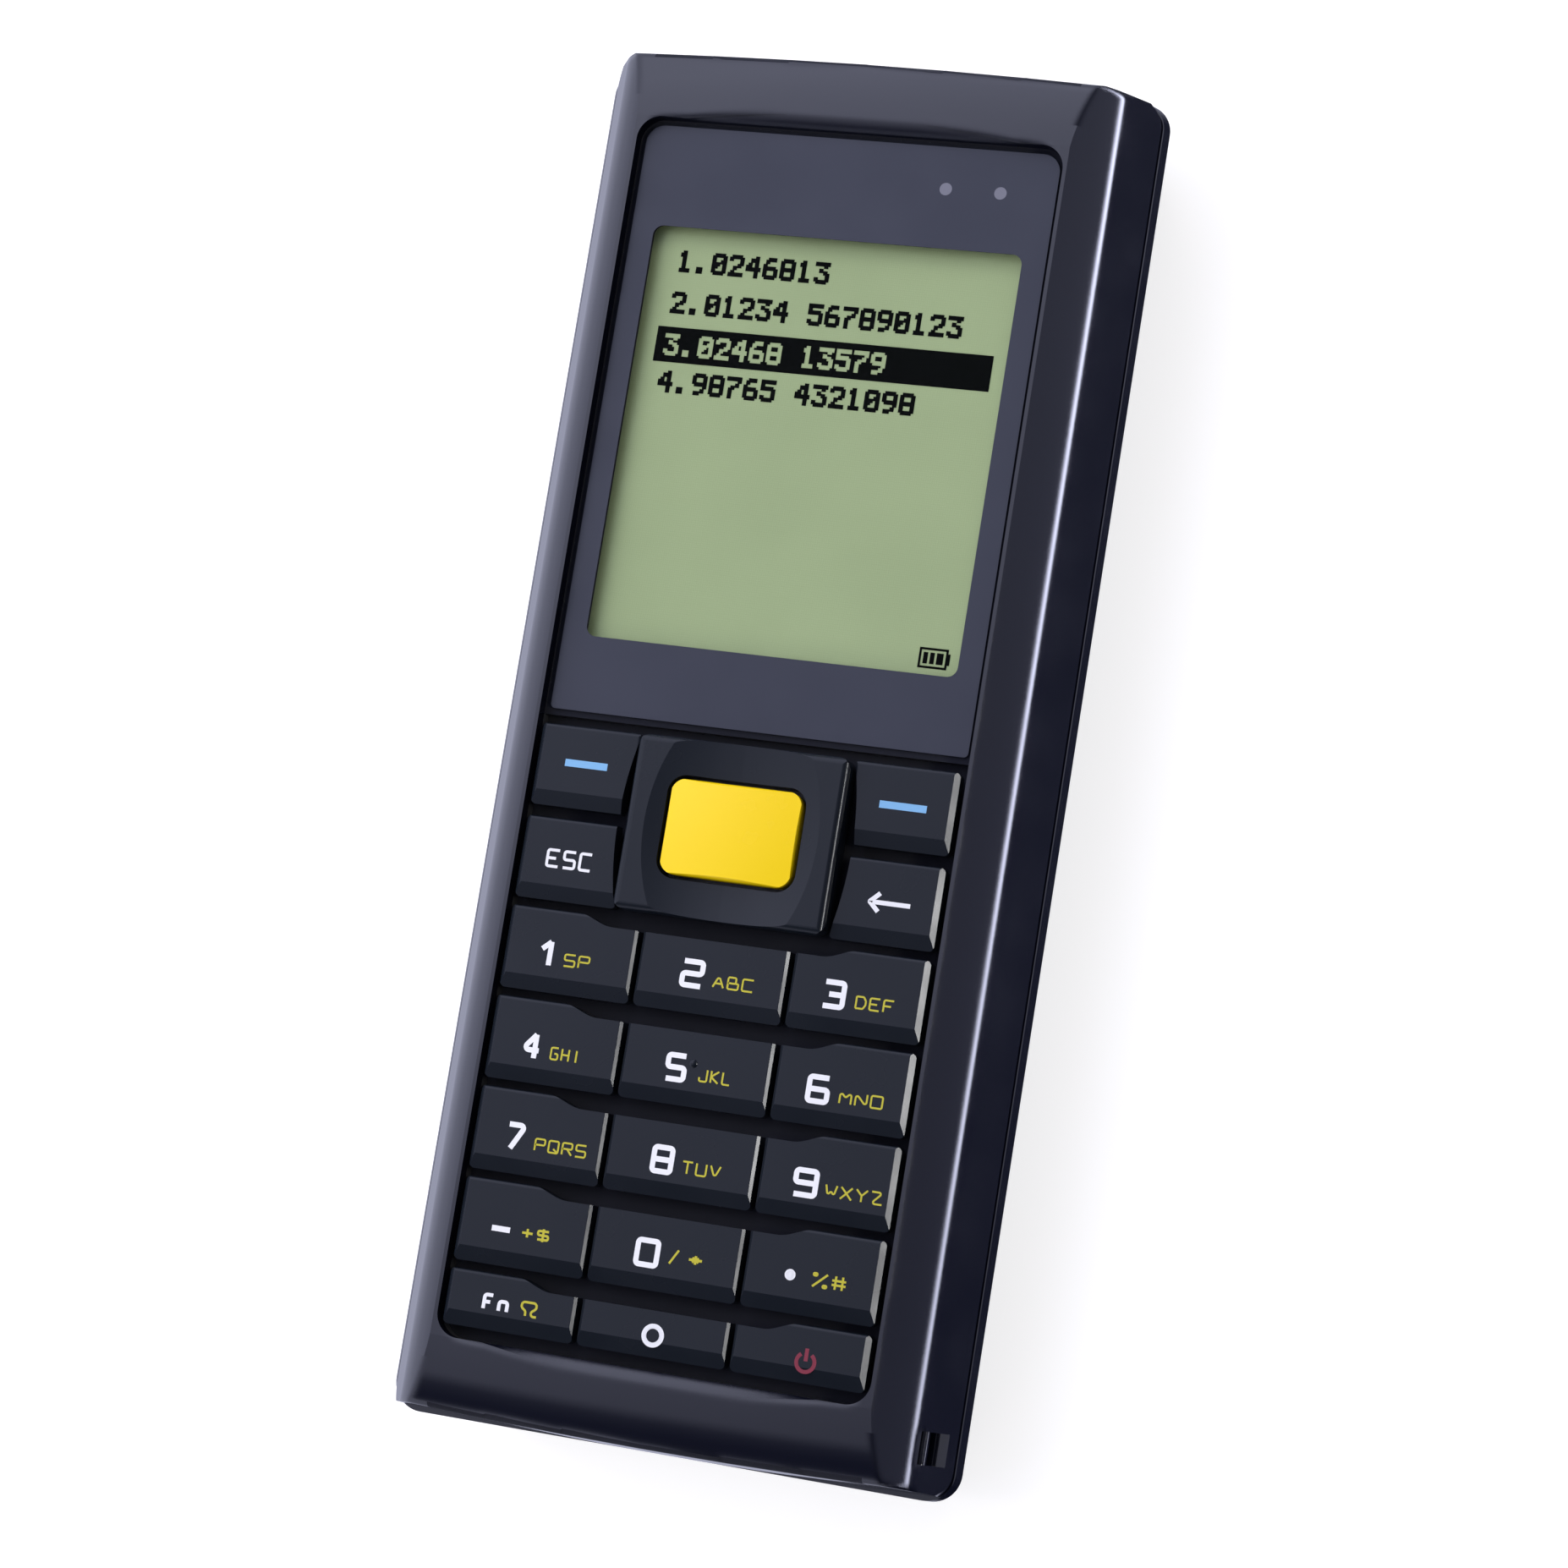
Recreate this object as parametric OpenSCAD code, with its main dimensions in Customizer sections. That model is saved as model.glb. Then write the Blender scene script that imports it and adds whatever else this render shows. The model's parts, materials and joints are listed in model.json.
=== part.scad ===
// Handheld data terminal with a keypad, a display and a scan window in its head.
// Frame: X across the face, +Y towards the head, +Z out of the face, back on z = 0.

/* [Body] */
// Width of the body at its widest line
body_w = 56; // [54:0.5:60]
// Length of the body
body_l = 132; // [128:0.5:140]
// Height of the lens face above the back
front_z = 22.7; // [22.3:0.1:24]
// Drop from the lens face to the ridge along each side
ridge_drop = 4; // [3.6:0.1:4.4]
// Inset of the side ridges from the widest line
ridge_inset = 3.3; // [2.8:0.1:3.7]
// Drop from the lens face to the widest line
widest_drop = 10.4; // [9.8:0.1:11.5]
// Drop from the lens face to the seam between the two housings
seam_drop = 9.2; // [8.6:0.1:9.6]
// Drop from the lens face to the edge of each end
end_drop = 1.5; // [1.2:0.1:1.9]
// Inward lean of the upper end walls, from the seam to the edge of each end
end_lean = 0.6; // [0.4:0.1:0.9]
// Radius of the crown of the end strips, seen from the side
end_crown_r = 24; // [20:1:60]
// Radius of the edge between each end strip and its end wall
end_edge_r = 0.9; // [0.6:0.1:1.2]
// Radius of the rolled shoulders, seen from an end
shoulder_r = 14; // [12.5:0.5:24]
// Radius of the body's corners, seen from the front
corner_r = 2.8; // [2.5:0.1:3.4]
// Radius of the slight bow of both ends
end_bow_r = 600; // [400:10:1200]
// Height at which the rear walls turn in to the back
rear_turn_z = 4.5; // [3.5:0.1:5.5]
// Inward lean of the rear side walls, from the widest line down
rear_taper = 2.4; // [1.5:0.1:2.8]
// Inset of the flat back from the side walls
back_side_inset = 4.6; // [3.6:0.1:4.8]
// Inset of the flat back from the end walls
back_end_inset = 2.6; // [2:0.1:2.8]
// Thickness of the outer walls
wall = 2; // [1.6:0.1:2.2]
// Thickness of the back
back_wall = 2.1; // [1.8:0.1:2.6]

/* [Front opening] */
// Width of each shoulder, from its ridge to the opening
shoulder_w = 3.7; // [3.5:0.1:4.2]
// Distance from the opening to each end of the body
end_margin = 7.6; // [7:0.1:8.4]
// Corner radius of the opening
open_r = 2.3; // [1.5:0.1:3]
// Width of the flat rim round the opening
rim = 0.35; // [0.2:0.05:0.5]
// Distance from the direction pad to the step up to the lens seat
step_gap = 1; // [0.8:0.1:1.3]
// Depth of the crescent bevels at both ends of the opening
crescent_depth = 0.55; // [0.4:0.05:0.8]
// Run of the crescent bevels, measured level with the rim
crescent_l = 1.3; // [1:0.1:1.8]
// Distance from the ends of the crescent bevels to the opening's sides
crescent_side = 4.8; // [4:0.2:7]
// Depth of the crescent bevel along the lens's lower edge
lens_bevel_depth = 0.5; // [0.3:0.05:0.7]
// Width of that bevel
lens_bevel_l = 1.2; // [0.8:0.1:1.6]

/* [Lens and display] */
// Gap round the lens
lens_gap = 0.5; // [0.3:0.05:0.7]
// Thickness of the lens
lens_t = 1.3; // [1:0.1:1.6]
// Distance from the step to the lens's lower edge
lens_step = 0.55; // [0.3:0.05:0.8]
// Thickness of the lens gasket
lens_gasket_t = 0.2; // [0.15:0.05:0.3]
// Thickness of the seat under the lens
lens_seat_t = 1; // [0.8:0.1:1.3]
// Margin of the lens on each side of the display window
window_side = 2.3; // [2:0.1:3.4]
// Margin of the lens above the display window
window_head = 9.8; // [9:0.1:11]
// Margin of the lens below the display window
window_foot = 7.25; // [6.8:0.05:8]
// Border of the display glass round the window
glass_border = 1; // [0.6:0.1:1.2]
// Thickness of the display glass
glass_t = 1.8; // [1.4:0.1:2]
// Wall of the display's frame
display_wall = 0.9; // [0.7:0.1:1]

/* [Keys] */
// Distance from row to row
row_pitch = 8.5; // [8.3:0.05:8.7]
// Gap between rows
row_gap = 0.75; // [0.6:0.05:0.9]
// Gap between columns
col_gap = 0.5; // [0.4:0.05:0.7]
// Gap between the keys and the opening
key_side_gap = 0.6; // [0.5:0.05:0.8]
// Width of the bevel along the outer side of the outer keys
key_bevel_w = 0.5; // [0.35:0.05:0.6]
// Width of the bevels between the columns
key_inner_bevel_w = 0.3; // [0.25:0.05:0.35]
// Slope of the keys' side bevels in degrees
key_bevel_angle = 38; // [30:1:45]
// Width of the middle column
mid_key_w = 14.3; // [13.5:0.1:15]
// Length of the keys of the last row
last_row_l = 5.2; // [4.8:0.1:6]
// Step down of the middle part of each row's upper edge
crescent_drop = 0.95; // [0.6:0.05:1.1]
// Distance from the middle column to the low end of that step
ramp_start = 3.05; // [2.4:0.05:4]
// Length of the step along the upper edge
ramp_l = 3.6; // [2.8:0.1:4.4]
// Rise of the key tops above the lens face
key_rise = 0.2; // [0:0.05:0.4]
// Travel of the keys
key_travel = 0.8; // [0.5:0.05:0.9]
// Corner radius of the keys
key_r = 0.5; // [0.3:0.05:0.7]
// Rounding of the keys' upper edges
key_edge_r = 0.35; // [0.25:0.05:0.45]
// Length of the slope along the keys' lower edge
key_slope_l = 1.4; // [1:0.1:1.8]
// Fall of that slope
key_slope_h = 0.45; // [0.3:0.05:0.6]
// Height of the gap between the key caps and the web
cap_gap = 1.1; // [1:0.05:1.3]
// Thickness of the web under the keys
web_t = 1.2; // [1:0.1:1.4]
// Drop from the lens face to the top of the web
web_drop = 2.6; // [2.4:0.1:2.8]
// Clearance round each key stem in the web
stem_gap = 0.25; // [0.2:0.05:0.3]
// Inset of the stems from the sides of their caps
stem_inset = 1.7; // [1.5:0.1:2]
// Inset of the stems from the upper and lower edges of their caps
stem_inset_y = 1.1; // [1:0.05:1.3]
// Gap below the last row
key_low_gap = 1.2; // [1:0.1:1.5]

/* [Scan key and direction pad] */
// Gap between the pad and the first number row
pad_row_gap = 0.8; // [0.6:0.05:1.1]
// Length of the pad's rim along Y
pad_l = 16.5; // [16:0.1:16.8]
// Width of the pad's rim at its ends
pad_w = 19.8; // [19:0.1:20.2]
// Bulge of the pad's two sides
pad_bulge = 0.4; // [0.2:0.05:0.6]
// Gap between the pad and the side keys at its ends
pad_gap = 0.5; // [0.4:0.05:0.7]
// Extra gap that the side keys leave at the middle
pad_gap_bow = 0.6; // [0.3:0.05:0.8]
// Rise of the pad's rim above the lens face
pad_rise = 1.4; // [1:0.1:1.4]
// Radius of the hollow in the pad's face
pad_dish_r = 40; // [34:1:60]
// Radius of the pad's hollow along its length
pad_dish_long_r = 90; // [70:5:140]
// Rise of the hollow's floor above the lens face
pad_floor_rise = 0.5; // [0.3:0.05:0.7]
// Tilt of the pad each way, in degrees
pad_tilt = 2.5; // [1:0.5:3]
// Width of the scan key
scan_w = 12.7; // [12:0.1:13]
// Length of the scan key
scan_l = 8.9; // [8.4:0.1:9.3]
// Corner radius of the scan key
scan_r = 1.4; // [1:0.1:1.8]
// Rise of the scan key above the lens face
scan_rise = 1.7; // [1.6:0.05:2]
// Rounding of the scan key's upper edges
scan_edge_r = 0.7; // [0.4:0.05:0.9]
// Gap between the scan key and the pad
scan_gap = 0.4; // [0.35:0.05:0.5]
// Gap between the side keys of one column
side_key_gap = 1.1; // [0.7:0.05:1.4]
// Wall of the pad's carrier ring
carrier_wall = 1.3; // [1:0.1:1.6]

/* [Keypad mat and boards] */
// Thickness of the keypad mat
mat_t = 0.8; // [0.6:0.1:1]
// Gap that each stem keeps above the mat when it is pressed
stem_stop = 0.2; // [0.15:0.05:0.3]
// Height of the mat's pads
mat_pad_h = 0.6; // [0.4:0.1:0.8]
// Height of the mat's lower plungers
mat_nub_h = 0.3; // [0.2:0.05:0.4]
// Height of the snap domes
dome_h = 0.3; // [0.2:0.05:0.4]
// Radius of the snap domes
dome_r = 2; // [1.6:0.1:2.2]
// Thickness of the domes' carrier film
film_t = 0.1; // [0.1:0.05:0.2]
// Thickness of the main board
board_t = 1; // [0.8:0.1:1.2]
// Distance from the main board's edge to the side walls
board_gap = 1.2; // [0.8:0.1:1.6]

/* [Battery bay and door] */
// Distance from the bay to the foot end of the body
bay_end = 16; // [15:0.2:18]
// Height of the bay's floor above the back
bay_h = 8.4; // [8:0.1:8.8]
// Wall of the bay
bay_wall = 1.4; // [1.2:0.1:1.6]
// Width of the ledge that the door closes on
ledge_w = 1.5; // [1.2:0.1:1.7]
// Thickness of the door
door_t = 1.8; // [1.6:0.1:2]
// Gap round the door
door_gap = 0.3; // [0.2:0.05:0.4]
// Depth of the door's face below the back
door_sink = 0.25; // [0.15:0.05:0.35]
// Radius of the door's hinge barrel
barrel_r = 1.3; // [1.1:0.05:1.5]
// Radius of the hinge pins
pin_r = 0.8; // [0.6:0.05:0.9]
// Length of the hinge pins
pin_l = 1.5; // [1.2:0.1:1.8]
// Clearance round the hinge pins
pin_gap = 0.06; // [0.04:0.01:0.09]
// Height of the seal rib inside the door
seal_h = 1.2; // [0.8:0.1:1.6]
// Width of the seal rib
seal_w = 1; // [0.8:0.1:1.2]
// Width of the battery
battery_w = 34.4; // [33:0.2:35]
// Gap between the battery and the door's seal on each side
battery_side_gap = 0.5; // [0.4:0.05:0.7]
// Length of the battery
battery_l = 48.6; // [46:0.2:50]
// Gap between the battery's foot and the door's seal
battery_end_gap = 0.7; // [0.6:0.05:1]
// Gap between the battery and the bay's floor
battery_gap = 0.3; // [0.2:0.05:0.5]

/* [Door latch] */
// Width of the latch's thumb piece
thumb_w = 12; // [10:0.5:14]
// Length of the thumb piece
thumb_l = 4.6; // [4:0.1:5]
// Travel of the latch
latch_travel = 2.4; // [2:0.1:2.6]
// Thickness of the thumb piece
thumb_t = 0.8; // [0.7:0.05:0.9]
// Running gap of the latch
latch_gap = 0.25; // [0.2:0.05:0.3]
// Width of the latch's bolt
bolt_w = 8; // [7:0.2:9]
// Thickness of the bolt
bolt_t = 1; // [0.8:0.1:1.2]

/* [Fasteners] */
// Distance from the housing screws to the widest line
screw_side = 10; // [9.8:0.1:10.5]
// Distance from the housing screws to each end of the body
screw_end = 5.5; // [5:0.1:6]
// Shank radius of the housing screws
screw_r = 0.9; // [0.8:0.05:1]
// Head radius of the housing screws
screw_head_r = 1.9; // [1.7:0.05:2]
// Head height of the housing screws
screw_head_h = 1.3; // [1.1:0.1:1.6]
// Depth of the screw wells in the back
well_depth = 3.4; // [3:0.1:4]
// Wall round the screw wells and bosses
boss_wall = 1.1; // [1:0.05:1.2]
// Shank radius of the board screws
board_screw_r = 0.7; // [0.6:0.05:0.8]
// Head radius of the board screws
board_head_r = 1.3; // [1.2:0.05:1.4]

/* [Head end and fittings] */
// Width of the scan window
scan_window_w = 28; // [26:0.5:29]
// Height of the scan window
scan_window_h = 6.4; // [6:0.1:6.8]
// Height of the scan window's centre above the back
scan_window_z = 7.6; // [7.4:0.1:7.8]
// Thickness of the scan window
scan_window_t = 1.2; // [1:0.1:1.4]
// Width of the seat round the scan window
window_seat = 0.9; // [0.8:0.1:1]
// Width of the scan engine
engine_w = 22; // [20:0.5:23]
// Length of the scan engine
engine_l = 13; // [12:0.2:14]
// Height of the scan engine
engine_h = 9; // [8.5:0.1:9.5]
// Radius of the speaker
speaker_r = 6.5; // [5.5:0.1:7]
// Height of the speaker
speaker_h = 3; // [2.6:0.1:3.4]
// Distance from the strap bar's centre to the foot end of the body
strap_end = 4.8; // [4.5:0.1:5.2]
// Length of the strap pocket along Y
strap_l = 3; // [2.6:0.1:3.2]
// Height of the strap pocket
strap_h = 3.4; // [3:0.1:3.6]
// Drop from the lens face to the strap bar
strap_drop = 6.4; // [6.2:0.1:6.6]
// Depth of the strap pocket
strap_depth = 3; // [2.6:0.1:3.2]
// Radius of the strap bar
strap_bar_r = 0.6; // [0.5:0.05:0.7]
// Charging contacts
contact_n = 4; // [2:1:5]
// Distance between the charging contacts
contact_pitch = 5; // [4:0.2:6]
// Width of a charging contact
contact_w = 2.2; // [1.6:0.1:2.6]
// Height of a charging contact
contact_h = 3; // [2.4:0.1:3.4]
// Width of the seam's seal
seam_seal_w = 0.7; // [0.5:0.05:0.8]
// Height of the shadow line along the seam
seam_line_h = 0.35; // [0.2:0.05:0.5]
// Depth of the shadow line
seam_line_d = 0.35; // [0.2:0.05:0.4]

/* [Hidden] */
key_rows = 5;

case_colour = "#23232c";
key_colour = "#26262e";
fine = 0.01;
over = 0.5;
arc_fn = 48;

// Heights, from the lens face down
ridge_z = front_z - ridge_drop;
widest_z = front_z - widest_drop;
seam_z = front_z - seam_drop;
end_z = front_z - end_drop;
lens_z = front_z - lens_t;
lens_seat_z = lens_z - lens_gasket_t;
glass_z = lens_seat_z - lens_seat_t;
web_z = front_z - web_drop;
web_low_z = web_z - web_t;
key_z = front_z + key_rise;
cap_z = web_z + cap_gap;
stem_poke = 0.3;
stem_z = web_low_z - stem_poke;
mat_pad_z = stem_z - key_travel - stem_stop;
mat_z = mat_pad_z - mat_pad_h;
mat_low_z = mat_z - mat_t;
board_z = mat_low_z - mat_nub_h - dome_h - film_t;
board_low_z = board_z - board_t;

// Plan of the body
body_hw = body_w / 2;
body_hl = body_l / 2;
ridge_hw = body_hw - ridge_inset;
open_hw = ridge_hw - shoulder_w;
open_hl = body_hl - end_margin;
open_w = 2 * open_hw;
open_l = 2 * open_hl;
end_hl = body_hl - end_lean;
rear_hw = body_hw - rear_taper;

// Centre of the arc of radius r from p to q that bulges up and outwards
function arc_centre(p, q, r) =
    let (mid = (p + q) / 2, half = norm(q - p) / 2, across = (q - p) / (2 * half))
    mid + sqrt(r * r - half * half) * [-across.y, across.x];
function between(t, a, b) = a + t * (b - a);

side_centre = arc_centre([ridge_hw, ridge_z], [open_hw + rim, front_z], shoulder_r);
end_centre = arc_centre([end_hl, end_z], [open_hl + rim, front_z], end_crown_r);
function wall_hw(z) = between((ridge_z - z) / (ridge_z - widest_z), ridge_hw, body_hw);
function end_wall_hl(z) = between((z - seam_z) / (end_z - seam_z), body_hl, end_hl);
function rear_wall_hw(z) = between((widest_z - z) / (widest_z - rear_turn_z), body_hw, rear_hw);
// The rear walls turn in to the back along a quarter of an ellipse
function turn(z) = 1 - sqrt(1 - pow(1 - z / rear_turn_z, 2));
function rear_hw_at(z) = z > rear_turn_z ? rear_wall_hw(z) : rear_hw - back_side_inset * turn(z);
function rear_hl_at(z) = z > rear_turn_z ? body_hl : body_hl - back_end_inset * turn(z);
function half_w(z) = z > widest_z ? wall_hw(z) : rear_hw_at(z);

// Rounded edge of each end: its centre, and the angles at which it meets the wall and the crown
end_wall_angle = atan(end_lean / (end_z - seam_z));
end_wall_out = [cos(end_wall_angle), sin(end_wall_angle)];
end_crown_angle = end_wall_angle + acos(((([body_hl, seam_z] - end_centre) * end_wall_out) - end_edge_r)
                                        / (end_crown_r - end_edge_r));
end_edge_centre = end_centre + (end_crown_r - end_edge_r) * [cos(end_crown_angle), sin(end_crown_angle)];
rear_levels = [widest_z, rear_turn_z, 0.72 * rear_turn_z, 0.45 * rear_turn_z,
               0.24 * rear_turn_z, 0.09 * rear_turn_z, 0];

// Key field: the rows count from the top, and stand on the foot end of the opening
field_hw = open_hw - key_side_gap;
mid_hw = mid_key_w / 2;
field_low_y = -open_hl + key_low_gap;
rows_top_y = field_low_y + last_row_l + (key_rows - 1) * row_pitch;
ramp_in_x = mid_hw + ramp_start;
ramp_out_x = ramp_in_x + ramp_l;
pad_y = rows_top_y + pad_row_gap + pad_l / 2;
side_top_y = pad_y + pad_l / 2;
side_low_y = pad_y - pad_l / 2;
pad_hw = pad_w / 2;
side_key_hw = pad_hw + pad_gap;
step_y = side_top_y + step_gap;
key_dot = [-0.3, -0.3];
key_dot_r = 0.55;
key_dot_sink = 0.35;

// Battery, its bay and the door, from the hinge end
seal_margin = 0.3;
bay_w = battery_w + 2 * (battery_side_gap + seal_w + door_gap);
bay_hw = bay_w / 2;
bay_low_y = -body_hl + bay_end;
hinge_y = bay_low_y + barrel_r + door_gap;
hinge_z = door_sink + barrel_r;
knuckle_skin = 0.05;
knuckle_r = hinge_z + knuckle_skin;
door_low_y = hinge_y + knuckle_r + door_gap;
door_z = door_sink + door_t;
ledge_z = door_z + door_gap;
battery_low_y = door_low_y + seal_margin + seal_w + battery_end_gap;
battery_high_y = battery_low_y + battery_l;
battery_low_z = door_z + 0.4;
contact_room = 0.9;
contact_run = thumb_l + latch_travel + contact_room;
bay_high_y = battery_high_y + contact_run;
bay_l = bay_high_y - bay_low_y;
door_high_y = bay_high_y + ledge_w - door_gap;
bay_roof_z = bay_h + bay_wall;
bay_skin = 0.5;
flange_w = ledge_w + 1.3;
flange_t = 1.2;
leaf_w = 2;
leaf_pitch = 3;
leaf_in = 2.4;
leaf_t = 0.4;
leaf_rise = 1;

cap_margin = 0.8;
mat_hw = field_hw + cap_margin;
mat_low_y = field_low_y - cap_margin;
mat_high_y = side_top_y + cap_margin;

screw_dx = body_w - 2 * screw_side;
screw_dy = body_l - 2 * screw_end;
screw_places = [for (x = [-1, 1], y = [-1, 1]) [x * screw_dx / 2, y * screw_dy / 2]];
well_gap = 0.3;
well_r = screw_head_r + well_gap;
boss_r = screw_r + boss_wall;
socket_r = 0.9;
socket_depth = 0.8;
board_head_h = 0.9;
board_hw = half_w(board_z) - wall - board_gap;
boss_gap = 0.5;
board_hl = screw_dy / 2 - boss_r - boss_gap;
tongue_hw = screw_dx / 2 - boss_r - boss_gap;
tongue_l = 4.5;
board_screw_in = 3;
board_screw_up = 2.7;
tongue_screw_in = 5;
board_screw_places = [for (x = [-1, 1]) each [[x * (open_hw - board_screw_in), step_y + board_screw_up],
                                              [x * (tongue_hw - tongue_screw_in), -screw_dy / 2]]];
// Chips, as shares of the board's half width and half length
chip_places = [[-0.4, 0.42], [0.36, 0.14], [-0.36, -0.24], [0.42, -0.52]];
chip_w = 10;
chip_t = 1.2;
shield_place = [-0.52 * board_hw, 0.76 * board_hl];
shield_w = 16;
shield_l = 13;
shield_t = 2.2;
cell_place = [0.6 * board_hw, 0.66 * board_hl];
cell_r = 4.8;
cell_t = 2.1;

// Lens and display
lens_low_y = step_y + lens_step;
lens_hw = open_hw - lens_gap;
lens_high_y = open_hl - lens_gap;
window_w = 2 * (lens_hw - window_side);
window_l = lens_high_y - window_head - lens_low_y - window_foot;
window_y = lens_low_y + window_foot + window_l / 2;
glass_w = window_w + 2 * glass_border;
glass_l = window_l + 2 * glass_border;
glass_low_z = glass_z - glass_t;
frame_w = glass_w + 2 * display_wall;
frame_l = glass_l + 2 * display_wall;
frame_floor = 0.8;
led_side = 5.5;
led_pitch = 5.3;
led_head = 4.7;
led_places = [for (i = [1, 0]) [open_hw - led_side - i * led_pitch, open_hl - led_head]];
led_w = 1.6;
led_l = 1;
led_h = 0.6;
pipe_r = 0.6;
pipe_foot_r = 1.1;
pipe_foot_h = 0.8;
display_room = 0.3;

// Scan key, direction pad and its carrier
fit_gap = 0.05;
pad_clear = 0.3;
pad_low_z = cap_z + pad_clear;
scan_cap_z = pad_low_z + key_travel;
scan_stem_w = scan_w - 2 * stem_inset;
scan_stem_l = scan_l - 2 * stem_inset;
carrier_gap = 0.35;
carrier_seat = 0.8;
carrier_w = scan_stem_w + 2 * (carrier_gap + carrier_wall);
carrier_l = scan_l + 2 * (scan_gap + carrier_seat);
carrier_room = 0.2;
carrier_z = pad_low_z - carrier_w / 2 * sin(pad_tilt) - carrier_room;
pad_bow = pad_bulge + pad_gap_bow;
scan_crown_r = 60;
pad_corner_r = 1.2;
pad_edge_r = 0.7;
mat_rim = 0.7;
mat_pad_inset = 0.3;
mat_nub_r = 0.9;
film_inset = 0.5;
side_pad_x = (field_hw + side_key_hw + pad_bow) / 2;
dome_places = concat(
    [for (r = [0 : key_rows - 1], c = [-1, 0, 1])
        [(column_low_x(c) + column_high_x(c)) / 2, (row_low(r) + row_top(r) - crescent_drop) / 2]],
    [for (side = [-1, 1], upper = [0, 1])
        [side * side_pad_x, (side_y0(upper) + side_y1(upper)) / 2]],
    [[0, pad_y]]);

// Fixings, seals and end fittings
screw_grip = 3.8;
board_grip = 2.2;
window_sink = 0.4;
window_frame_w = 1;
window_r = 1;
sight_depth = 5;
contact_lift = 2.5;
contact_z = rear_turn_z + contact_lift;
contact_sink = 0.2;
contact_stub = 0.5;
seam_seal_h = 0.9;
strap_wall = 1;
lens_edge_r = 0.3;
lens_bevel_side = 6.5;
crescent_hw = open_hw - crescent_side;
flex_w = 14;
flex_t = 0.2;
flex_room = 0.3;
flex_reach = 2.3;
flex_foot = 1.5;
engine_gap = 1.7;
engine_y = body_hl - wall - engine_gap;
sight_w = 12;
sight_h = 4;
sight_side = 2;
sight_recess = 1;
speaker_y = (bay_high_y + flange_w + engine_y - engine_l) / 2;
slot_pitch = 2.4;
slot_w = 1.1;
strap_y = -body_hl + strap_end;
strap_bar_skin = 0.5;
strap_bar_sink = strap_bar_r + strap_bar_skin;

// Latch
thumb_margin = 1.6;
thumb_pocket_high_y = door_high_y - thumb_margin;
thumb_low_y = thumb_pocket_high_y - latch_gap - latch_travel - thumb_l;
thumb_mid_y = thumb_low_y + thumb_l / 2;
neck_side = 1.5;
neck_end = 1.1;
neck_w = bolt_w - 2 * neck_side;
neck_l = thumb_l - 2 * neck_end;
block_lip = 0.4;
grip_d = 0.25;
grip_w = 0.5;
bolt_low_z = door_z + seal_h + latch_gap;
bolt_tip_y = bay_high_y - door_gap;
strike_hw = bolt_w / 2 + latch_gap;
strike_h = 4.3;

// ---------- shared shapes ----------

module rounded_rect(w, l, r) {
    square([w - 2 * r, l], center = true);
    square([w, l - 2 * r], center = true);
    for (x = [-1, 1], y = [-1, 1]) {
        translate([x * (w / 2 - r), y * (l / 2 - r)]) circle(r, $fn = arc_fn);
    }
}

module rounded_plate(w, l, h, r) {
    linear_extrude(h) rounded_rect(w, l, r);
}

// Plan of the body at one height: a rounded rectangle whose two ends bow outwards
module body_plan(hw, hl, r) {
    intersection() {
        rounded_rect(2 * hw, 2 * hl, r);
        for (side = [-1, 1]) {
            translate([0, side * (hl - end_bow_r)]) circle(end_bow_r, $fn = 720);
        }
    }
}

// Body lofted through its plans at the given heights, drawn in by inset
module body_loft(levels, inset) {
    hull() {
        for (z = levels) {
            translate([0, 0, z]) linear_extrude(fine) {
                body_plan(half_w(z) - inset, rear_hl_at(z) - inset, corner_r - inset / 2);
            }
        }
    }
}

// Upper body with leaning side walls and upright ends, drawn in by inset
module upper_block(inset, low, top) {
    foot = low - over;
    head = top + over;
    intersection() {
        translate([0, 0, low]) linear_extrude(top - low) {
            body_plan(half_w(seam_z) - inset + fine, body_hl - inset + fine, corner_r - inset / 2);
        }
        translate([0, body_l, 0]) rotate([90, 0, 0]) linear_extrude(2 * body_l) {
            polygon([[inset - wall_hw(foot), foot], [wall_hw(foot) - inset, foot],
                     [wall_hw(head) - inset, head], [inset - wall_hw(head), head]]);
        }
    }
}

// Side view of one end, measured from the centre of the end's bow
module end_profile() {
    shift = [end_bow_r - body_hl, 0];
    foot = seam_z - over;
    head = front_z + over;
    spread = (end_crown_angle - end_wall_angle) / 2;
    toe = shift + end_edge_centre;
    difference() {
        polygon([[0, foot], shift + [end_wall_hl(foot), foot], shift + [end_wall_hl(head), head], [0, head]]);
        difference() {
            translate(shift + [open_hl + rim, seam_z]) square(body_hw);
            translate(shift + end_centre) circle(end_crown_r, $fn = 360);
        }
        difference() {
            polygon([toe + end_edge_r * end_wall_out,
                     toe + 2 * end_edge_r / cos(spread) * [cos(end_wall_angle + spread), sin(end_wall_angle + spread)],
                     toe + end_edge_r * [cos(end_crown_angle), sin(end_crown_angle)]]);
            translate(toe) circle(end_edge_r, $fn = arc_fn);
        }
    }
}

module end_round(side) {
    translate([0, side * (body_hl - end_bow_r), 0]) rotate_extrude($fn = 1440) end_profile();
}

// What the rolled shoulders take off the upper body, seen from an end
module shoulder_profile() {
    for (side = [-1, 1]) {
        difference() {
            translate([side * (open_hw + rim + body_hw / 2), ridge_z + body_hw / 2]) square(body_hw, center = true);
            translate([side * side_centre.x, side_centre.y]) circle(shoulder_r, $fn = 360);
        }
    }
}

module upper_body() {
    difference() {
        intersection() {
            upper_block(0, seam_z, front_z);
            end_round(1);
            end_round(-1);
        }
        translate([0, body_l, 0]) rotate([90, 0, 0]) linear_extrude(2 * body_l) shoulder_profile();
    }
}

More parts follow.
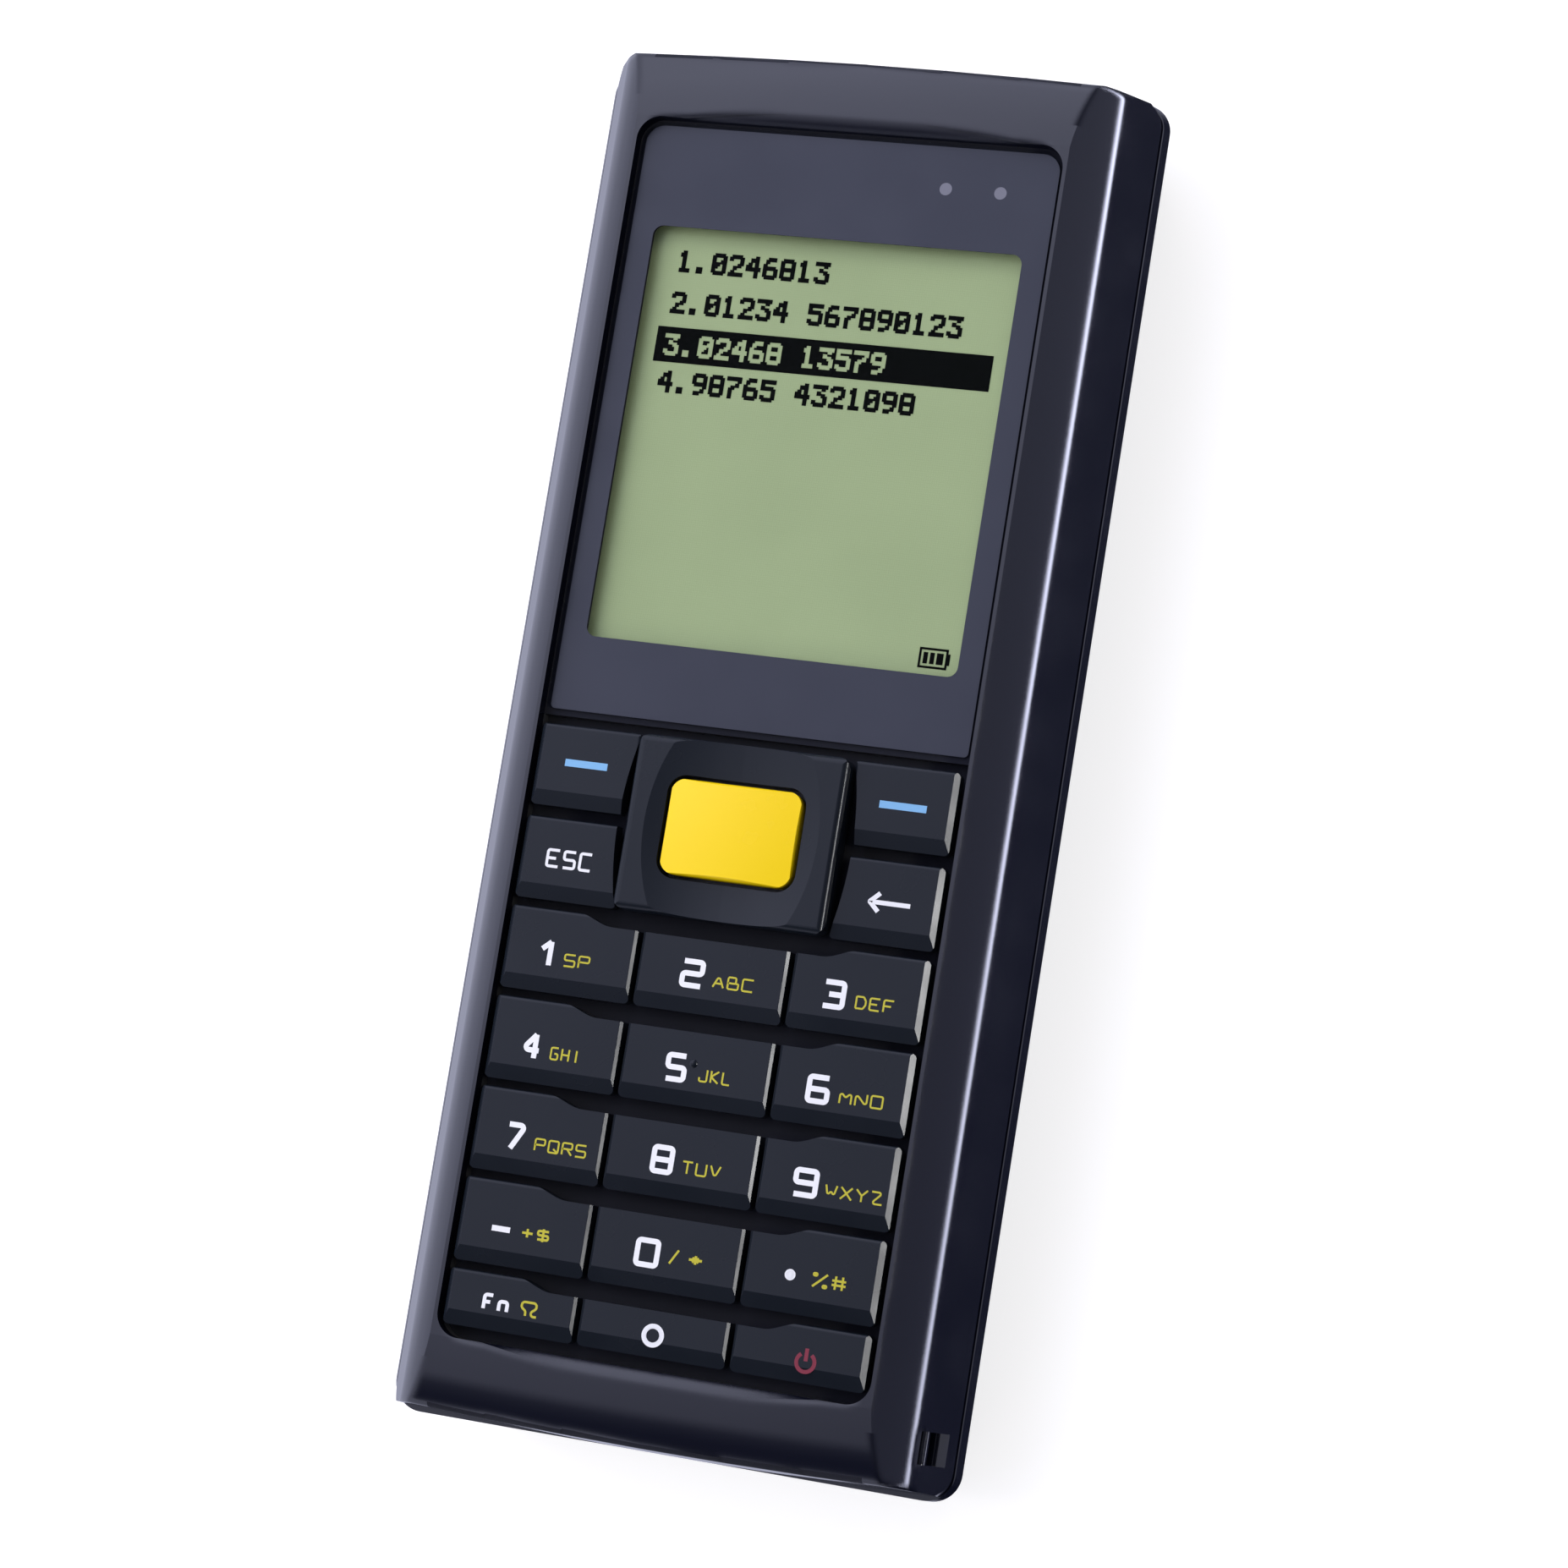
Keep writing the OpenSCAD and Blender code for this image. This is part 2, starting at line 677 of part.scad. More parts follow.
// Crescent between a straight edge from -a to a and an arc that rises l above it
module crescent_plan(a, l) {
    r = bow_radius(2 * a, l);
    intersection() {
        translate([0, l - r]) circle(r, $fn = 720);
        translate([-a, -over]) square([2 * a, l + 2 * over]);
    }
}

// Wedge that bevels an edge along X: depth h at y = 0, nothing at y = l
module crescent_cut(a, l, h) {
    intersection() {
        linear_extrude(2 * h + 1) crescent_plan(a, l);
        rotate([90, 0, 90]) translate([0, 0, -a]) linear_extrude(2 * a) {
            polygon([[-over, 0], [0, 0], [l, h], [l, 2 * h + 1], [-over, 2 * h + 1]]);
        }
    }
}

// Profile with its two upper corners rounded by r, from z = low to z = high
module crown_profile(hw, low, high, r) {
    polygon([[-hw, low], [hw, low], [hw, high - r], [hw - r, high], [-hw + r, high], [-hw, high - r]]);
    for (side = [-1, 1]) {
        translate([side * (hw - r), high - r]) circle(r, $fn = arc_fn);
    }
}

// Solid with the given profile in X and Z, as long as the plan along Y
module crown(y, hw, hl, low, high, r) {
    translate([0, y + hl, 0]) rotate([90, 0, 0]) linear_extrude(2 * hl) crown_profile(hw, low, high, r);
}

// Solid with the given profile in Y and Z, as wide as the plan along X
module side_crown(x, y, hw, hl, low, high, r) {
    translate([x - hw, y, 0]) rotate([90, 0, 90]) linear_extrude(2 * hw) crown_profile(hl, low, high, r);
}

// Radius of an arc with the given chord and rise
function bow_radius(chord, rise) = (chord * chord / 4 + rise * rise) / (2 * rise);

// ---------- key layout ----------

// Columns are -1, 0 and 1; rows count from the top
function column_low_x(c) = c < 0 ? -field_hw : c == 0 ? -mid_hw : mid_hw + col_gap;
function column_high_x(c) = -column_low_x(-c);
function row_top(r) = rows_top_y - r * row_pitch;
function row_low(r) = r == key_rows - 1 ? field_low_y : row_top(r + 1) + row_gap;
// Fall of a row's upper edge at distance x from the centre line
function edge_fall(x) =
    let (t = (ramp_out_x - abs(x)) / (ramp_out_x - ramp_in_x))
    t < 0 ? 0 : t > 1 ? crescent_drop : crescent_drop * (1 - cos(180 * t)) / 2;

// Plan of a number key: its upper edge steps down towards the middle of the keypad
module number_plan(c, r) {
    x0 = column_low_x(c);
    x1 = column_high_x(c);
    steps = 10;
    ramp = [for (i = [0 : steps]) between(i / steps, ramp_out_x, ramp_in_x)];
    edge = c == 0 ? [[x1, row_top(r) - crescent_drop], [x0, row_top(r) - crescent_drop]]
         : c > 0 ? concat([[x1, row_top(r)]], [for (x = ramp) [x, row_top(r) - edge_fall(x)]],
                          [[x0, row_top(r) - crescent_drop]])
         : concat([[x1, row_top(r) - crescent_drop]],
                  [for (i = [0 : steps]) [-ramp[steps - i], row_top(r) - edge_fall(ramp[steps - i])]],
                  [[x0, row_top(r)]]);
    intersection() {
        polygon(concat(edge, [[x0, row_low(r)], [x1, row_low(r)]]));
        translate([(x0 + x1) / 2, (row_top(r) + row_low(r)) / 2]) {
            rounded_rect(x1 - x0, row_top(r) - row_low(r), key_r);
        }
    }
}

module number_stem(c, r, grow, low, high) {
    x0 = column_low_x(c) + stem_inset - grow;
    x1 = column_high_x(c) - stem_inset + grow;
    y0 = row_low(r) + stem_inset_y - grow;
    y1 = row_top(r) - crescent_drop - stem_inset_y + grow;
    translate([x0, y0, low]) cube([x1 - x0, y1 - y0, high - low]);
}

// Ends of the side keys along Y: upper is 1 for the soft keys and 0 for the keys below them
function side_y0(upper) = upper > 0 ? pad_y + side_key_gap / 2 : side_low_y;
function side_y1(upper) = upper > 0 ? side_top_y : pad_y - side_key_gap / 2;

// Plan of a key beside the pad, with a hollow edge that follows the pad's side
module side_plan(side, upper) {
    inner_r = bow_radius(pad_l, pad_bow);
    difference() {
        translate([side * (side_key_hw + field_hw) / 2, (side_y0(upper) + side_y1(upper)) / 2]) {
            rounded_rect(field_hw - side_key_hw, side_y1(upper) - side_y0(upper), key_r);
        }
        translate([side * (side_key_hw + pad_bow - inner_r), pad_y]) circle(inner_r, $fn = 180);
    }
}

module side_stem(side, upper, grow, low, high) {
    hw = (field_hw - side_key_hw - pad_bow) / 2 - stem_inset + grow;
    hl = (side_y1(upper) - side_y0(upper)) / 2 - stem_inset_y + grow;
    x = side * (field_hw + side_key_hw + pad_bow) / 2;
    y = (side_y0(upper) + side_y1(upper)) / 2;
    translate([x - hw, y - hl, low]) cube([2 * hw, 2 * hl, high - low]);
}

// Cap cut to a plan given as a child: bevelled sides, rounded ends and a slope along the lower edge
module key_cap(x0, x1, y0, y1, left_w, right_w) {
    slope = tan(key_bevel_angle);
    intersection() {
        translate([0, 0, cap_z]) linear_extrude(key_z - cap_z + 1) children();
        translate([(x0 + x1) / 2, 0, 0]) {
            crown((y0 + y1) / 2, (x1 - x0) / 2, (y1 - y0) / 2 + 1, cap_z, key_z, key_edge_r);
        }
        side_crown((x0 + x1) / 2, (y0 + y1) / 2, (x1 - x0) / 2 + 1, (y1 - y0) / 2, cap_z, key_z, key_edge_r);
        translate([x0 - 1, 0, 0]) rotate([90, 0, 90]) linear_extrude(x1 - x0 + 2) {
            polygon([[y0 - 1, cap_z], [y1 + 1, cap_z], [y1 + 1, key_z + 1], [y0 + key_slope_l, key_z + 1],
                     [y0 + key_slope_l, key_z], [y0, key_z - key_slope_h], [y0 - 1, key_z - key_slope_h - 0.5]]);
        }
        translate([0, y1 + 1, 0]) rotate([90, 0, 0]) linear_extrude(y1 - y0 + 2) {
            polygon([[x0, cap_z - over], [x1, cap_z - over],
                     [x1, key_z - right_w * slope], [x1 - 2 * right_w, key_z + right_w * slope],
                     [x0 + 2 * left_w, key_z + left_w * slope], [x0, key_z - left_w * slope]]);
        }
    }
}

module number_key(c, r) {
    key_cap(column_low_x(c), column_high_x(c), row_low(r), row_top(r),
            c < 0 ? key_bevel_w : key_inner_bevel_w, c > 0 ? key_bevel_w : key_inner_bevel_w) {
        number_plan(c, r);
    }
    number_stem(c, r, 0, stem_z, cap_z + fine);
}

module side_key(side, upper) {
    inner = min(side * side_key_hw, side * field_hw);
    outer = max(side * side_key_hw, side * field_hw);
    key_cap(inner, outer, side_y0(upper), side_y1(upper),
            side < 0 ? key_bevel_w : fine, side > 0 ? key_bevel_w : fine) {
        side_plan(side, upper);
    }
    side_stem(side, upper, 0, stem_z, cap_z + fine);
}

// ---------- housings ----------

module key_well_holes() {
    for (r = [0 : key_rows - 1], c = [-1, 0, 1]) number_stem(c, r, stem_gap, web_low_z - over, web_z + over);
    for (side = [-1, 1], upper = [0, 1]) side_stem(side, upper, stem_gap, web_low_z - over, web_z + over);
    translate([0, pad_y, web_low_z - over]) {
        rounded_plate(carrier_w + 2 * stem_gap, carrier_l + 2 * stem_gap, web_t + 2 * over, scan_r);
    }
}

module light_pipe_holes() {
    for (p = led_places) {
        translate([p.x, p.y, web_low_z - over]) cylinder(r = pipe_r + fit_gap, h = front_z, $fn = arc_fn);
    }
}

module strap_pocket() {
    translate([half_w(front_z - strap_drop) - strap_depth, strap_y - strap_l / 2,
               front_z - strap_drop - strap_h / 2]) {
        cube([2 * strap_depth, strap_l, strap_h]);
    }
}

// Closed box round the strap pocket, inside the wall
module strap_box() {
    x = half_w(front_z - strap_drop) - strap_depth - strap_wall;
    intersection() {
        translate([x, -body_hl, seam_z]) {
            cube([body_hw, body_hl + strap_y + strap_l / 2 + strap_wall, web_low_z - seam_z + over]);
        }
        upper_block(wall / 2, seam_z, web_z);
    }
}

module strap_bar() {
    translate([half_w(front_z - strap_drop) - strap_bar_sink, strap_y + strap_l / 2 + over,
               front_z - strap_drop]) {
        rotate([90, 0, 0]) cylinder(r = strap_bar_r, h = strap_l + 2 * over, $fn = arc_fn);
    }
}

module front_cavity() {
    upper_block(wall + end_lean, seam_z - over, web_low_z);
    translate([0, window_y, web_low_z - fine]) {
        rounded_plate(frame_w + 2 * display_room, frame_l + 2 * display_room, glass_z - web_low_z + fine, 0.8);
    }
}

module front_opening() {
    translate([0, 0, lens_seat_z]) rounded_plate(open_w, open_l, front_z, open_r);
    intersection() {
        translate([0, 0, web_z]) rounded_plate(open_w, open_l, front_z, open_r);
        translate([-open_hw, -body_hl, web_z]) cube([open_w, body_hl + step_y, front_z]);
    }
    translate([0, window_y, glass_z - over]) {
        rounded_plate(window_w + 2 * display_room, window_l + 2 * display_room, front_z, 1);
    }
    for (angle = [0, 180]) {
        rotate([0, 0, angle]) translate([0, open_hl, front_z - crescent_depth]) {
            crescent_cut(crescent_hw, crescent_l, crescent_depth);
        }
    }
}

module front_housing() {
    boss_top = web_low_z + over;
    color(case_colour) {
        difference() {
            union() {
                difference() {
                    upper_body();
                    front_cavity();
                }
                strap_box();
                for (p = screw_places) {
                    translate([p.x, p.y, seam_z]) cylinder(r = boss_r, h = boss_top - seam_z, $fn = arc_fn);
                }
                for (p = board_screw_places) {
                    translate([p.x, p.y, board_z]) {
                        cylinder(r = board_head_r, h = boss_top - board_z, $fn = arc_fn);
                    }
                }
            }
            front_opening();
            key_well_holes();
            light_pipe_holes();
            strap_pocket();
            for (p = screw_places) {
                translate([p.x, p.y, seam_z - over]) {
                    cylinder(r = screw_r + fit_gap, h = screw_grip + 2 * over, $fn = arc_fn);
                }
            }
            for (p = board_screw_places) {
                translate([p.x, p.y, board_z - over]) {
                    cylinder(r = board_screw_r + fit_gap, h = board_grip + 2 * over, $fn = arc_fn);
                }
            }
        }
        strap_bar();
    }
}

module bay_block() {
    block_low_y = bay_low_y - bay_wall;
    translate([-bay_hw - bay_wall, block_low_y, bay_skin]) {
        cube([bay_w + 2 * bay_wall, bay_l + 2 * bay_wall, bay_roof_z - bay_skin]);
    }
    translate([-bay_hw - flange_w, block_low_y, bay_skin]) {
        cube([bay_w + 2 * flange_w, bay_l + bay_wall + flange_w, ledge_z + flange_t - bay_skin]);
    }
    for (side = [-1, 1]) {
        translate([side * (bay_hw + flange_w / 2) - flange_w / 2, block_low_y, bay_skin]) {
            cube([flange_w, hinge_y + knuckle_r - block_low_y, hinge_z + pin_r + flange_t]);
        }
    }
}

module bay_pocket() {
    translate([-bay_hw, bay_low_y, -over]) cube([bay_w, bay_l, bay_h + over]);
    difference() {
        translate([-bay_hw - ledge_w, hinge_y, -over]) {
            cube([bay_w + 2 * ledge_w, bay_high_y + ledge_w - hinge_y, ledge_z + over]);
        }
        translate([-bay_hw - ledge_w - over, hinge_y, hinge_z]) {
            rotate([0, 90, 0]) cylinder(r = knuckle_r, h = bay_w + 2 * (ledge_w + over), $fn = arc_fn);
        }
    }
    translate([-bay_hw - pin_l, hinge_y, hinge_z]) {
        rotate([0, 90, 0]) cylinder(r = pin_r + pin_gap, h = bay_w + 2 * pin_l, $fn = arc_fn);
    }
    translate([-strike_hw, bay_high_y - over, bolt_low_z - latch_gap]) {
        cube([2 * strike_hw, over + latch_travel + bay_wall, strike_h]);
    }
}

module window_opening() {
    translate([0, body_hl + over, scan_window_z]) rotate([90, 0, 0]) {
        rounded_plate(scan_window_w, scan_window_h, scan_window_t + window_sink + over, window_r);
        rounded_plate(scan_window_w - 2 * window_seat, scan_window_h - 2 * window_seat, sight_depth + over, 0.6);
    }
}

module window_frame() {
    translate([0, body_hl - wall + over, scan_window_z]) rotate([90, 0, 0]) {
        rounded_plate(scan_window_w + 2 * window_frame_w, scan_window_h + 2 * window_frame_w,
                      window_frame_w + over, window_r + window_frame_w);
    }
}

module contact_bars(y, l) {
    for (i = [0 : contact_n - 1]) {
        translate([(i - (contact_n - 1) / 2) * contact_pitch - contact_w / 2, y, contact_z - contact_h / 2]) {
            cube([contact_w, l, contact_h]);
        }
    }
}

module speaker_slots() {
    for (i = [-1, 0, 1]) {
        translate([0, speaker_y + slot_pitch * i, -over]) {
            rounded_plate(speaker_r * 1.4, slot_w, back_wall + 2 * over, slot_w / 2 - fine);
        }
    }
}

module seam_ring(grow) {
    hw = half_w(seam_z) - wall / 2;
    hl = body_hl - wall / 2;
    difference() {
        body_plan(hw + seam_seal_w / 2 + grow, hl + seam_seal_w / 2 + grow, corner_r);
        body_plan(hw - seam_seal_w / 2 - grow, hl - seam_seal_w / 2 - grow, corner_r - seam_seal_w);
    }
}

// Shadow line round the top of the rear housing
module seam_line() {
    translate([0, 0, seam_z - seam_line_h]) linear_extrude(seam_line_h + over) difference() {
        square([body_w + 2 * over, body_l + 2 * over], center = true);
        body_plan(half_w(seam_z) - seam_line_d, body_hl - seam_line_d, corner_r - seam_line_d);
    }
}

module rear_housing() {
    color(case_colour) {
        difference() {
            union() {
                difference() {
                    body_loft(concat(rear_levels, [seam_z - fine]), 0);
                    body_loft([back_wall, rear_turn_z, widest_z, seam_z + 0.1], wall);
                }
                bay_block();
                window_frame();
                for (p = screw_places) {
                    translate([p.x, p.y, bay_skin]) {
                        cylinder(r = well_r + boss_wall, h = well_depth + boss_wall - bay_skin, $fn = arc_fn);
                        cylinder(r = boss_r, h = seam_z - bay_skin, $fn = arc_fn);
                    }
                }
            }
            bay_pocket();
            window_opening();
            contact_bars(-body_hl - over, wall + 2 * over);
            speaker_slots();
            for (p = screw_places) {
                translate([p.x, p.y, -over]) cylinder(r = well_r, h = well_depth + over, $fn = arc_fn);
                translate([p.x, p.y, 0]) cylinder(r = screw_r + 3 * fit_gap, h = seam_z + over, $fn = arc_fn);
            }
            seam_line();
            translate([0, 0, seam_z - seam_seal_h]) linear_extrude(seam_seal_h + over) seam_ring(0);
        }
    }
}

module housing_seal() {
    color("#3a3a3c") translate([0, 0, seam_z - seam_seal_h]) linear_extrude(seam_seal_h) seam_ring(0);
}

// ---------- lens and display ----------

module lens_outline(inset) {
    hw = lens_hw - inset;
    high = lens_high_y - inset;
    low = lens_low_y + inset;
    translate([0, (high + low) / 2]) rounded_rect(2 * hw, high - low, open_r - lens_gap);
    translate([-hw, low + key_r]) square([2 * hw, 2 * open_r]);
    translate([-hw + key_r, low]) square([2 * hw - 2 * key_r, 2 * open_r]);
    for (side = [-1, 1]) {
        translate([side * (hw - key_r), low + key_r]) circle(key_r, $fn = arc_fn);
    }
}

module display_lens() {
    hl = (lens_high_y - lens_low_y) / 2;
    mid = lens_low_y + hl;
    color("#16161a") difference() {
        intersection() {
            translate([0, 0, lens_z]) linear_extrude(lens_t) lens_outline(0);
            crown(mid, lens_hw, hl + 1, lens_z, front_z, lens_edge_r);
            side_crown(0, mid, lens_hw + 1, hl, lens_z, front_z, lens_edge_r);
        }
        translate([0, lens_low_y, front_z - lens_bevel_depth]) {
            crescent_cut(open_hw - lens_bevel_side, lens_bevel_l, lens_bevel_depth);
        }
    }
}

module lens_gasket() {
    color("#101012") translate([0, 0, lens_seat_z]) linear_extrude(lens_gasket_t) {
        difference() {
            lens_outline(0.2);
            lens_outline(1.2);
        }
    }
}

module display_glass() {
    color("#9aa783") translate([0, window_y, glass_low_z]) rounded_plate(glass_w, glass_l, glass_t, 0.4);
}

module display_frame() {
    color("#d8d8d4") translate([0, window_y, board_z]) difference() {
        rounded_plate(frame_w, frame_l, glass_z - board_z, 0.8);
        translate([0, 0, frame_floor]) {
            rounded_plate(glass_w + 2 * fit_gap, glass_l + 2 * fit_gap, glass_z, 0.4);
        }
        translate([-flex_w / 2 - flex_room, -frame_l / 2 - over, glass_low_z - board_z - flex_t]) {
            cube([flex_w + 2 * flex_room, display_wall + 2 * over, 4 * flex_t]);
        }
    }
}

module display_backlight() {
    color("#f0f0ea") translate([0, window_y, board_z + frame_floor]) {
        rounded_plate(glass_w - 0.4, glass_l - 0.4, glass_low_z - board_z - frame_floor, 0.4);
    }
}

// Ribbon from the glass's lower edge down to a connector foot on the main board
module display_flex() {
    y0 = window_y - glass_l / 2;
    y1 = y0 - flex_reach;
    z1 = glass_low_z + flex_t / 2;
    color("#b8742a") translate([-flex_w / 2, 0, 0]) rotate([90, 0, 90]) linear_extrude(flex_w) {
        polygon([[y0, z1], [y0, z1 + flex_t], [y1, z1 + flex_t], [y1, board_z + flex_t],
                 [y1 - flex_foot, board_z + flex_t], [y1 - flex_foot, board_z], [y1 + flex_t, board_z],
                 [y1 + flex_t, z1]]);
    }
}

module light_pipes() {
    color("#c8ccd2") for (p = led_places) {
        translate([p.x, p.y, board_z + led_h]) {
            cylinder(r = pipe_r, h = lens_z - board_z - led_h, $fn = arc_fn);
            cylinder(r = pipe_foot_r, h = pipe_foot_h, $fn = arc_fn);
        }
    }
}

module status_leds() {
    color("#e8e4c8") for (p = led_places) {
        translate([p.x - led_w / 2, p.y - led_l / 2, board_z]) cube([led_w, led_l, led_h]);
    }
}

// ---------- keypad stack and boards ----------

module mat_pads(grow, low, high) {
    for (r = [0 : key_rows - 1], c = [-1, 0, 1]) number_stem(c, r, grow, low, high);
    for (side = [-1, 1], upper = [0, 1]) side_stem(side, upper, grow, low, high);
    translate([-scan_stem_w / 2 - grow, pad_y - scan_stem_l / 2 - grow, low]) {
        cube([scan_stem_w + 2 * grow, scan_stem_l + 2 * grow, high - low]);
    }
}

module keypad_mat() {
    l = mat_high_y - mat_low_y;
    mid = (mat_high_y + mat_low_y) / 2;
    color("#55565c") {
        translate([0, mid, mat_low_z]) rounded_plate(2 * mat_hw, l, mat_t, 1);
        difference() {
            translate([0, mid, mat_low_z]) rounded_plate(2 * mat_hw, l, web_low_z - mat_low_z, 1);
            translate([0, mid, mat_low_z - over]) {
                rounded_plate(2 * mat_hw - 2 * mat_rim, l - 2 * mat_rim, web_low_z, 0.6);
            }
        }
        mat_pads(-mat_pad_inset, mat_z - fine, mat_pad_z);
        for (p = dome_places) {
            translate([p.x, p.y, mat_low_z - mat_nub_h]) {
                cylinder(r = mat_nub_r, h = mat_nub_h + fine, $fn = arc_fn);
            }
        }
    }
}

module dome_sheet() {
    color("#c9ccd0") {
        translate([0, (mat_high_y + mat_low_y) / 2, board_z]) {
            rounded_plate(2 * (mat_hw - film_inset), mat_high_y - mat_low_y - 2 * film_inset, film_t, 1);
        }
        for (p = dome_places) {
            translate([p.x, p.y, board_z + film_t - fine]) cylinder(r = dome_r, h = dome_h + fine, $fn = arc_fn);
        }
    }
}

module board_plan() {
    rounded_rect(2 * board_hw, 2 * board_hl, 1);
    translate([-tongue_hw, -board_hl - tongue_l]) square([2 * tongue_hw, 2 * tongue_l]);
}

module main_board() {
    color("#1e5b3a") difference() {
        translate([0, 0, board_low_z]) linear_extrude(board_t) board_plan();
        for (p = board_screw_places) {
            translate([p.x, p.y, board_low_z - over]) {
                cylinder(r = board_screw_r + 4 * fit_gap, h = board_t + 2 * over, $fn = arc_fn);
            }
        }
    }
}

// Chips and a shielded radio on the underside of the main board
module board_parts() {
    color("#1b1b1e") for (p = chip_places) {
        translate([p.x * board_hw - chip_w / 2, p.y * board_hl - chip_w / 2, board_low_z - chip_t]) {
            cube([chip_w, chip_w, chip_t]);
        }
    }
    color("#b9bcc0") translate([shield_place.x, shield_place.y, board_low_z - shield_t]) {
        rounded_plate(shield_w, shield_l, shield_t, 1);
    }
}

module backup_cell() {
    color("#c4c7cb") translate([cell_place.x, cell_place.y, board_low_z - cell_t]) {
        cylinder(r = cell_r, h = cell_t, $fn = arc_fn);
    }
}

module board_screws() {
    color("#b4b7bc") for (p = board_screw_places) {
        translate([p.x, p.y, board_low_z - board_head_h]) {
            cylinder(r = board_head_r, h = board_head_h, $fn = arc_fn);
        }
        translate([p.x, p.y, board_low_z - fine]) {
            cylinder(r = board_screw_r, h = board_t + board_grip, $fn = arc_fn);
        }
    }
}

module housing_screws() {
    color("#8b8e94") for (p = screw_places) {
        translate([p.x, p.y, well_depth - screw_head_h]) difference() {
            cylinder(r = screw_head_r, h = screw_head_h, $fn = arc_fn);
            translate([0, 0, -over]) cylinder(r = socket_r, h = socket_depth + over, $fn = 6);
        }
        translate([p.x, p.y, well_depth - fine]) {
            cylinder(r = screw_r, h = seam_z + screw_grip - well_depth, $fn = arc_fn);
        }
    }
}

module speaker() {
    color("#303136") translate([0, speaker_y, back_wall]) difference() {
        union() {
            cylinder(r = speaker_r, h = speaker_h * 0.6, $fn = arc_fn);
            cylinder(r = speaker_r * 0.6, h = speaker_h, $fn = arc_fn);
        }
        translate([0, 0, -over]) cylinder(r = speaker_r * 0.8, h = 0.5 + over, $fn = arc_fn);
    }
}

module scan_engine() {
    color("#2a2c33") difference() {
        translate([-engine_w / 2, engine_y - engine_l, back_wall]) cube([engine_w, engine_l, engine_h]);
        translate([sight_side - engine_w / 2, engine_y - sight_recess, scan_window_z - sight_h / 2]) {
            cube([sight_w, sight_recess + over, sight_h]);
        }
        translate([engine_w / 2 - sight_h, engine_y + over, scan_window_z]) {
            rotate([90, 0, 0]) cylinder(r = sight_h / 2, h = sight_h, $fn = arc_fn);
        }
    }
}

module scan_window() {
    color("#5a1016") translate([0, body_hl - window_sink, scan_window_z]) rotate([90, 0, 0]) {
        rounded_plate(scan_window_w - 2 * fit_gap, scan_window_h - 2 * fit_gap, scan_window_t, window_r - fit_gap);
    }
}

// ---------- battery, door and latch ----------

module battery() {
    color("#3c4048") translate([-battery_w / 2, battery_low_y, battery_low_z]) {
        cube([battery_w, battery_l, bay_h - battery_gap - battery_low_z]);
    }
}

// Leaf springs from the bay's end wall to the battery, beside the latch
module battery_contacts() {
    leaf_z = bolt_low_z + bolt_t + leaf_rise;
    knee = contact_run / 3;
    color("#d8b04a") for (i = [0, 1, 2]) {
        translate([battery_w / 2 - leaf_in - leaf_w - i * leaf_pitch, battery_high_y, leaf_z]) rotate([90, 0, 90]) {
            linear_extrude(leaf_w) polygon([[0, leaf_rise], [knee, 0], [contact_run, 0],
                                            [contact_run, leaf_t], [knee, leaf_t], [0, leaf_rise + leaf_t]]);
        }
    }
}

module charge_contacts() {
    color("#d8b04a") contact_bars(-body_hl + contact_sink, wall + contact_stub - contact_sink);
}

module battery_door() {
    pocket_l = thumb_l + latch_travel + 2 * latch_gap;
    color(case_colour) {
        difference() {
            union() {
                plate_hw = bay_hw + ledge_w - door_gap;
                translate([-plate_hw, door_low_y, door_sink]) {
                    cube([2 * plate_hw, door_high_y - door_low_y, door_t]);
                }
                translate([-bay_hw + door_gap, hinge_y, door_sink]) {
                    cube([bay_w - 2 * door_gap, door_low_y - hinge_y + over, door_t]);
                }
                translate([-bay_hw + door_gap, hinge_y, hinge_z]) {
                    rotate([0, 90, 0]) cylinder(r = barrel_r, h = bay_w - 2 * door_gap, $fn = arc_fn);
                }
                translate([-bay_hw - pin_l + door_gap, hinge_y, hinge_z]) {
                    rotate([0, 90, 0]) cylinder(r = pin_r, h = bay_w + 2 * (pin_l - door_gap), $fn = arc_fn);
                }
            }
            translate([-thumb_w / 2 - latch_gap, thumb_low_y - latch_gap, door_sink - over]) {
                cube([thumb_w + 2 * latch_gap, pocket_l, thumb_t + latch_gap + over]);
            }
            translate([-neck_w / 2 - latch_gap, thumb_mid_y - neck_l / 2 - latch_gap, 0]) {
                cube([neck_w + 2 * latch_gap, neck_l + latch_travel + 2 * latch_gap, door_z + over]);
            }
        }
    }
}

module door_seal() {
    hw = bay_hw - door_gap;
    low = door_low_y + seal_margin;
    high = bay_high_y - door_gap;
    color("#4a4b50") translate([0, (low + high) / 2, door_z]) difference() {
        rounded_plate(2 * hw, high - low, seal_h, 1.4);
        translate([0, 0, -over]) rounded_plate(2 * hw - 2 * seal_w, high - low - 2 * seal_w, seal_h + 2 * over, 0.6);
    }
}

